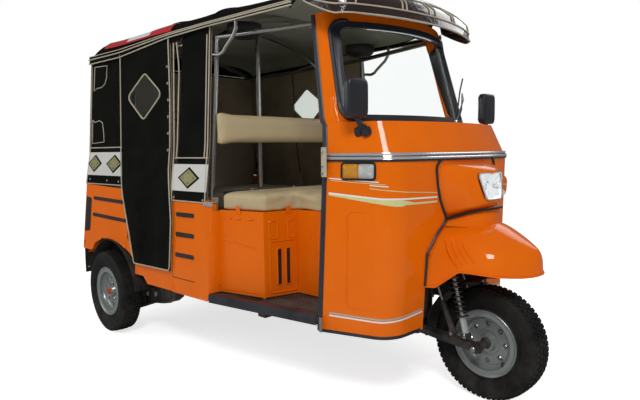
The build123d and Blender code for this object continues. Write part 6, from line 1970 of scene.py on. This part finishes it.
for y in (-0.095, 0.095):
    latch.knob([(0.0, 0.0), (0.0045, 0.0), (0.004, 0.002), (0.0, 0.0025)],
               (LID_FACE - 0.004, y, 0.702), 10, BACKWARD)
latch.piece("lid_latch", chrome, "chrome_trim", "rear_lid")
print("tail done")

# %% [markdown]
# ## The cabin
# Grips, levers and a clamp dress the handlebar. A gauge sits in the dashboard, grab handles hang at the
# doors, and two round housings hang under the roof. The last small pieces are the seat's beading, the
# flaps' eyelets, the inner mudguard and the brake drums.

# %% Handlebar
grips, levers = Shape(), Shape()
for hand in (-1, 1):
    path = [Vector((0.6085, hand * 0.205, 1.0435)), Vector((0.5950, hand * 0.250, 1.041)),
            Vector((0.5800, hand * 0.302, 1.038))]
    grips.tube([path[0], path[0].lerp(path[1], 0.12), path[1], path[2] - (path[2] - path[1]) * 0.1, path[2]],
               [0.0185, 0.0165, 0.0165, 0.0165, 0.0195], 16)
    for k in range(9):
        spot = path[0].lerp(path[2], 0.15 + 0.09 * k)
        along_bar = (path[2] - path[0]).normalized()
        grips.turned([(0.0162, -0.0016), (0.0182, -0.0008), (0.0182, 0.0008), (0.0162, 0.0016)], spot, 16,
                     along_bar)
    grips.block((0.6160, hand * 0.178, 1.0455), (0.034, 0.040, 0.036), bevel=0.006)
    levers.tube([(0.628, hand * 0.165, 1.048), (0.640, hand * 0.190, 1.047), (0.634, hand * 0.250, 1.043),
                 (0.619, hand * 0.300, 1.040)], [0.006, 0.0065, 0.0050, 0.0070], 10)
grips.piece("handlebar_grips", rubber, "rubber", "steering")
levers.piece("handlebar_levers", tube_steel, "bright_tube", "steering")
binnacle = Shape()
binnacle.tube([(0.690, 0, 1.040), (0.690, 0, 1.066)], [0.040, 0.034], 24)
binnacle.tube([(0.660, -0.06, 1.046), (0.660, 0.06, 1.046)], 0.017, 16)
binnacle.piece("handlebar_clamp", plastic, "black_plastic", "steering")

# %% Gauge and pockets
gauge, face_plate, marks = Shape(), Shape(), Shape()
GAUGE = Vector((0.8180, 0.0, 1.066))
gauge.turned([(0.045, 0.0), (0.051, 0.0), (0.052, 0.009), (0.046, 0.012), (0.044, 0.008)], GAUGE, 40,
             BACKWARD)
face_plate.knob([(0.0, 0.002), (0.044, 0.002), (0.044, 0.004), (0.0, 0.004)], GAUGE, 40, BACKWARD)
for k in range(13):
    a = radians(-45 + 270 * k / 12)
    marks.tube([GAUGE + Vector((-0.0052, r * cos(a), r * sin(a))) for r in (0.037, 0.041)], 0.0009, 6)
marks.tube([GAUGE + Vector((-0.0065, 0, 0)), GAUGE + Vector((-0.0065, -0.024, -0.016))], [0.0016, 0.0006], 6)
gauge.piece("gauge_bezel", chrome, "chrome_trim")
face_plate.piece("gauge_face", slot_black, "black_plastic")
marks.piece("gauge_marks", stripe_white, "white_belt")
bins = Shape()
for y in (-0.175, 0.175):
    bins.tube([Vector((0.8172, y + p.x, p.y))
               for p in rounded(corners(-0.075, 0.075, 1.020, 1.108), 0.012, 4)], 0.0030, 8, closed=True)
bins.piece("dashboard_pockets", rubber, "black_plastic")

# %% Brake pedal
PEDAL_Y = -0.190
pedals = Shape()
pedals.tube([(0.575, PEDAL_Y, 0.372), (0.560, PEDAL_Y, 0.430), (0.515, PEDAL_Y, 0.462)], 0.0085, 10)
pedal_tilt = Vector((0, 0, 1)).rotation_difference(Vector((0.5, 0, 1)))
pedals.block((0.503, PEDAL_Y, 0.468), (0.055, 0.075, 0.014), pedal_tilt, bevel=0.004)
for k in range(4):
    pedals.tube([(0.484 + 0.013 * k, y, 0.489 - 0.0089 * k) for y in (-0.222, -0.158)], 0.0028, 6)
pedals.piece("brake_pedal", slot_black, "black_plastic")

# %% Grab handles and roof housings
handles = Shape().tube(along([Vector((x, -0.550, z)) for x, z in
                              ((-0.074, 1.500), (-0.024, 1.494), (0.004, 1.502), (0.021, 1.518),
                               (0.085, 1.563), (0.109, 1.595), (0.111, 1.640))], 0.012), 0.0085, 12)
handles.both_sides().piece("grab_handles", tube_steel, "bright_tube")
pods = Shape()
for y in (-0.42, 0.42):
    pods.knob([(0.0, 0.040), (0.082, 0.040), (0.086, 0.020), (0.084, 0.004), (0.074, -0.010), (0.050, -0.020),
               (0.0, -0.024)], (0.0, y, 1.606), 40, UPWARD)
    for radius, drop in ((0.066, -0.0145), (0.052, -0.0200), (0.036, -0.0225)):
        pods.turned([(radius - 0.002, drop), (radius, drop - 0.0025), (radius + 0.002, drop)],
                    (0.0, y, 1.606), 36, UPWARD)
pods.piece("roof_housings", slot_black, "black_plastic")

# %% Seat beading and flap eyelets
bead = Shape().tube([(0.004, y, 0.8445 + 0.002 * sin(y * 9)) for y in steps(-0.572, 0.572, 40)], 0.0062, 10)
bead.piece("seat_rear_beading", slot_black, "rubber")
fasteners("seat_beading_studs", [(0.0, 0.0), (0.0070, 0.0), (0.0060, 0.004), (0.0, 0.0055)],
          [(0.004, y, 0.8495) for y in (-0.40, -0.12, 0.12, 0.40)], 12, (0.5, -0.3, 1), chrome, "chrome_trim",
          mirrored=False)
eyelets = Shape()
for z in steps(1.05, 1.48, 5):
    eyelets.turned([(0.0040, 0.0), (0.0075, 0.0), (0.0070, 0.0025), (0.0045, 0.0025)],
                   on_right(between(DOOR_FLAP["front"], z) - 0.018, z, 0.0150), 16, RIGHTWARD)
eyelets.both_sides().piece("flap_eyelets", chrome, "chrome_trim")

# %% Inner mudguard and brake drums
GUARD_R = 0.262
guard_arc = [(GUARD_R * cos(radians(a)), GUARD_R * sin(radians(a))) for a in range(92, 190, 7)]
inner_guard = Shape().grid([[Vector((FRONT_AXLE_X + x, y, TYRE_R + z)) + Vector((x, 0, z)).normalized() * lift
                             for y, lift in ((-wide, -0.010), (-wide + 0.002, 0.0), (-0.045, 0.005),
                                             (0.0, 0.007), (0.045, 0.005), (wide - 0.002, 0.0),
                                             (wide, -0.010))]
                            for x, z in guard_arc for wide in (0.074 + 0.012 * (x < -0.23),)])
inner_guard.piece("inner_mudguard", slot_black, "black_plastic", "steering", modifiers=[solid(0.003)])
drum = Shape().turned([(0.030, 0.004), (0.094, 0.004), (0.098, 0.010), (0.098, 0.046), (0.090, 0.050),
                       (0.030, 0.050)], WHEELS["front"][0], 48)
drum.piece("front_drum", slot_black, "black_paint", "front_wheel")
for hand, label in ((-1, "right"), (1, "left")):
    Shape().turned([(0.040, hand * 0.002), (0.096, hand * 0.002), (0.096, -hand * 0.030),
                    (0.040, -hand * 0.030)], (REAR_AXLE_X, hand * REAR_TRACK_HALF, TYRE_R),
                   48).piece(f"drum_face_{label}", slot_black, "black_paint", f"rear_wheel_{label}")
print("cabin done")

# %% Light levels
SKY_LEVEL = 0.38
SKY_REFLECTION = 0.16
FLOOR_GLOW = 0.70
FLOOR_REFLECTION = (0.42, 0.42, 0.42, 1)
LAMPS = [("key_lamp", (3.4, -3.4, 4.4), (0.2, 0, 0.8), (1.5, 1.1), 118),
         ("fill_lamp", (-3.5, -4.5, 2.6), (-0.2, 0, 0.8), (3.0, 2.5), 42),
         ("back_lamp", (0.5, 4.0, 3.6), (0, 0, 0.8), (4.0, 2.0), 50)]

# %% [markdown]
# ## The studio
# A pale floor that keeps the shadow, a white surrounding that only the camera and reflections see, and
# three large soft lamps.

# %% Floor, world and lamps
floor_mesh = bpy.data.meshes.new("studio_floor")
floor_mesh.from_pydata([(-30, -30, 0), (30, -30, 0), (30, 30, 0), (-30, 30, 0)], [], [(0, 1, 2, 3)])
studio_floor = bpy.data.objects.new("studio_floor", floor_mesh)
bpy.context.scene.collection.objects.link(studio_floor)
floor_finish = bpy.data.materials.new("studio_floor")
floor_finish.use_nodes = True
graph = floor_finish.node_tree
paper = graph.nodes["Principled BSDF"]
paper.inputs["Roughness"].default_value = 0.9
rays = wire(graph, "ShaderNodeLightPath")
tint = wire(graph, "ShaderNodeMix", {0: rays.outputs["Is Glossy Ray"], 6: (0.92, 0.92, 0.92, 1),
                                     7: FLOOR_REFLECTION}, data_type="RGBA").outputs[2]
graph.links.new(tint, paper.inputs["Base Color"])
seen = math(graph, "MAXIMUM", rays.outputs["Is Camera Ray"], rays.outputs["Is Transmission Ray"])
paper.inputs["Emission Color"].default_value = (1, 1, 1, 1)
graph.links.new(math(graph, "MULTIPLY", seen, FLOOR_GLOW), paper.inputs["Emission Strength"])
floor_mesh.materials.append(floor_finish)

world = bpy.data.worlds.new("studio")
bpy.context.scene.world = world
world.use_nodes = True
graph = world.node_tree
sky = graph.nodes["Background"]
rays = wire(graph, "ShaderNodeLightPath")
seen = math(graph, "MAXIMUM", rays.outputs["Is Camera Ray"], rays.outputs["Is Transmission Ray"])
light = math(graph, "MULTIPLY_ADD", rays.outputs["Is Glossy Ray"], SKY_REFLECTION - SKY_LEVEL, SKY_LEVEL)
graph.links.new(math(graph, "MAXIMUM", seen, light), sky.inputs["Strength"])
sky.inputs["Color"].default_value = (1, 1, 1, 1)


def soft_lamp(name, place, target, size, watts):
    """A rectangular lamp aimed at a point."""
    data = bpy.data.lights.new(name, "AREA")
    data.shape, data.size, data.size_y, data.energy = "RECTANGLE", size[0], size[1], watts
    lamp = bpy.data.objects.new(name, data)
    lamp.location = place
    lamp.rotation_euler = (Vector(target) - Vector(place)).to_track_quat("-Z", "Y").to_euler()
    bpy.context.scene.collection.objects.link(lamp)


for lamp in LAMPS:
    soft_lamp(*lamp)
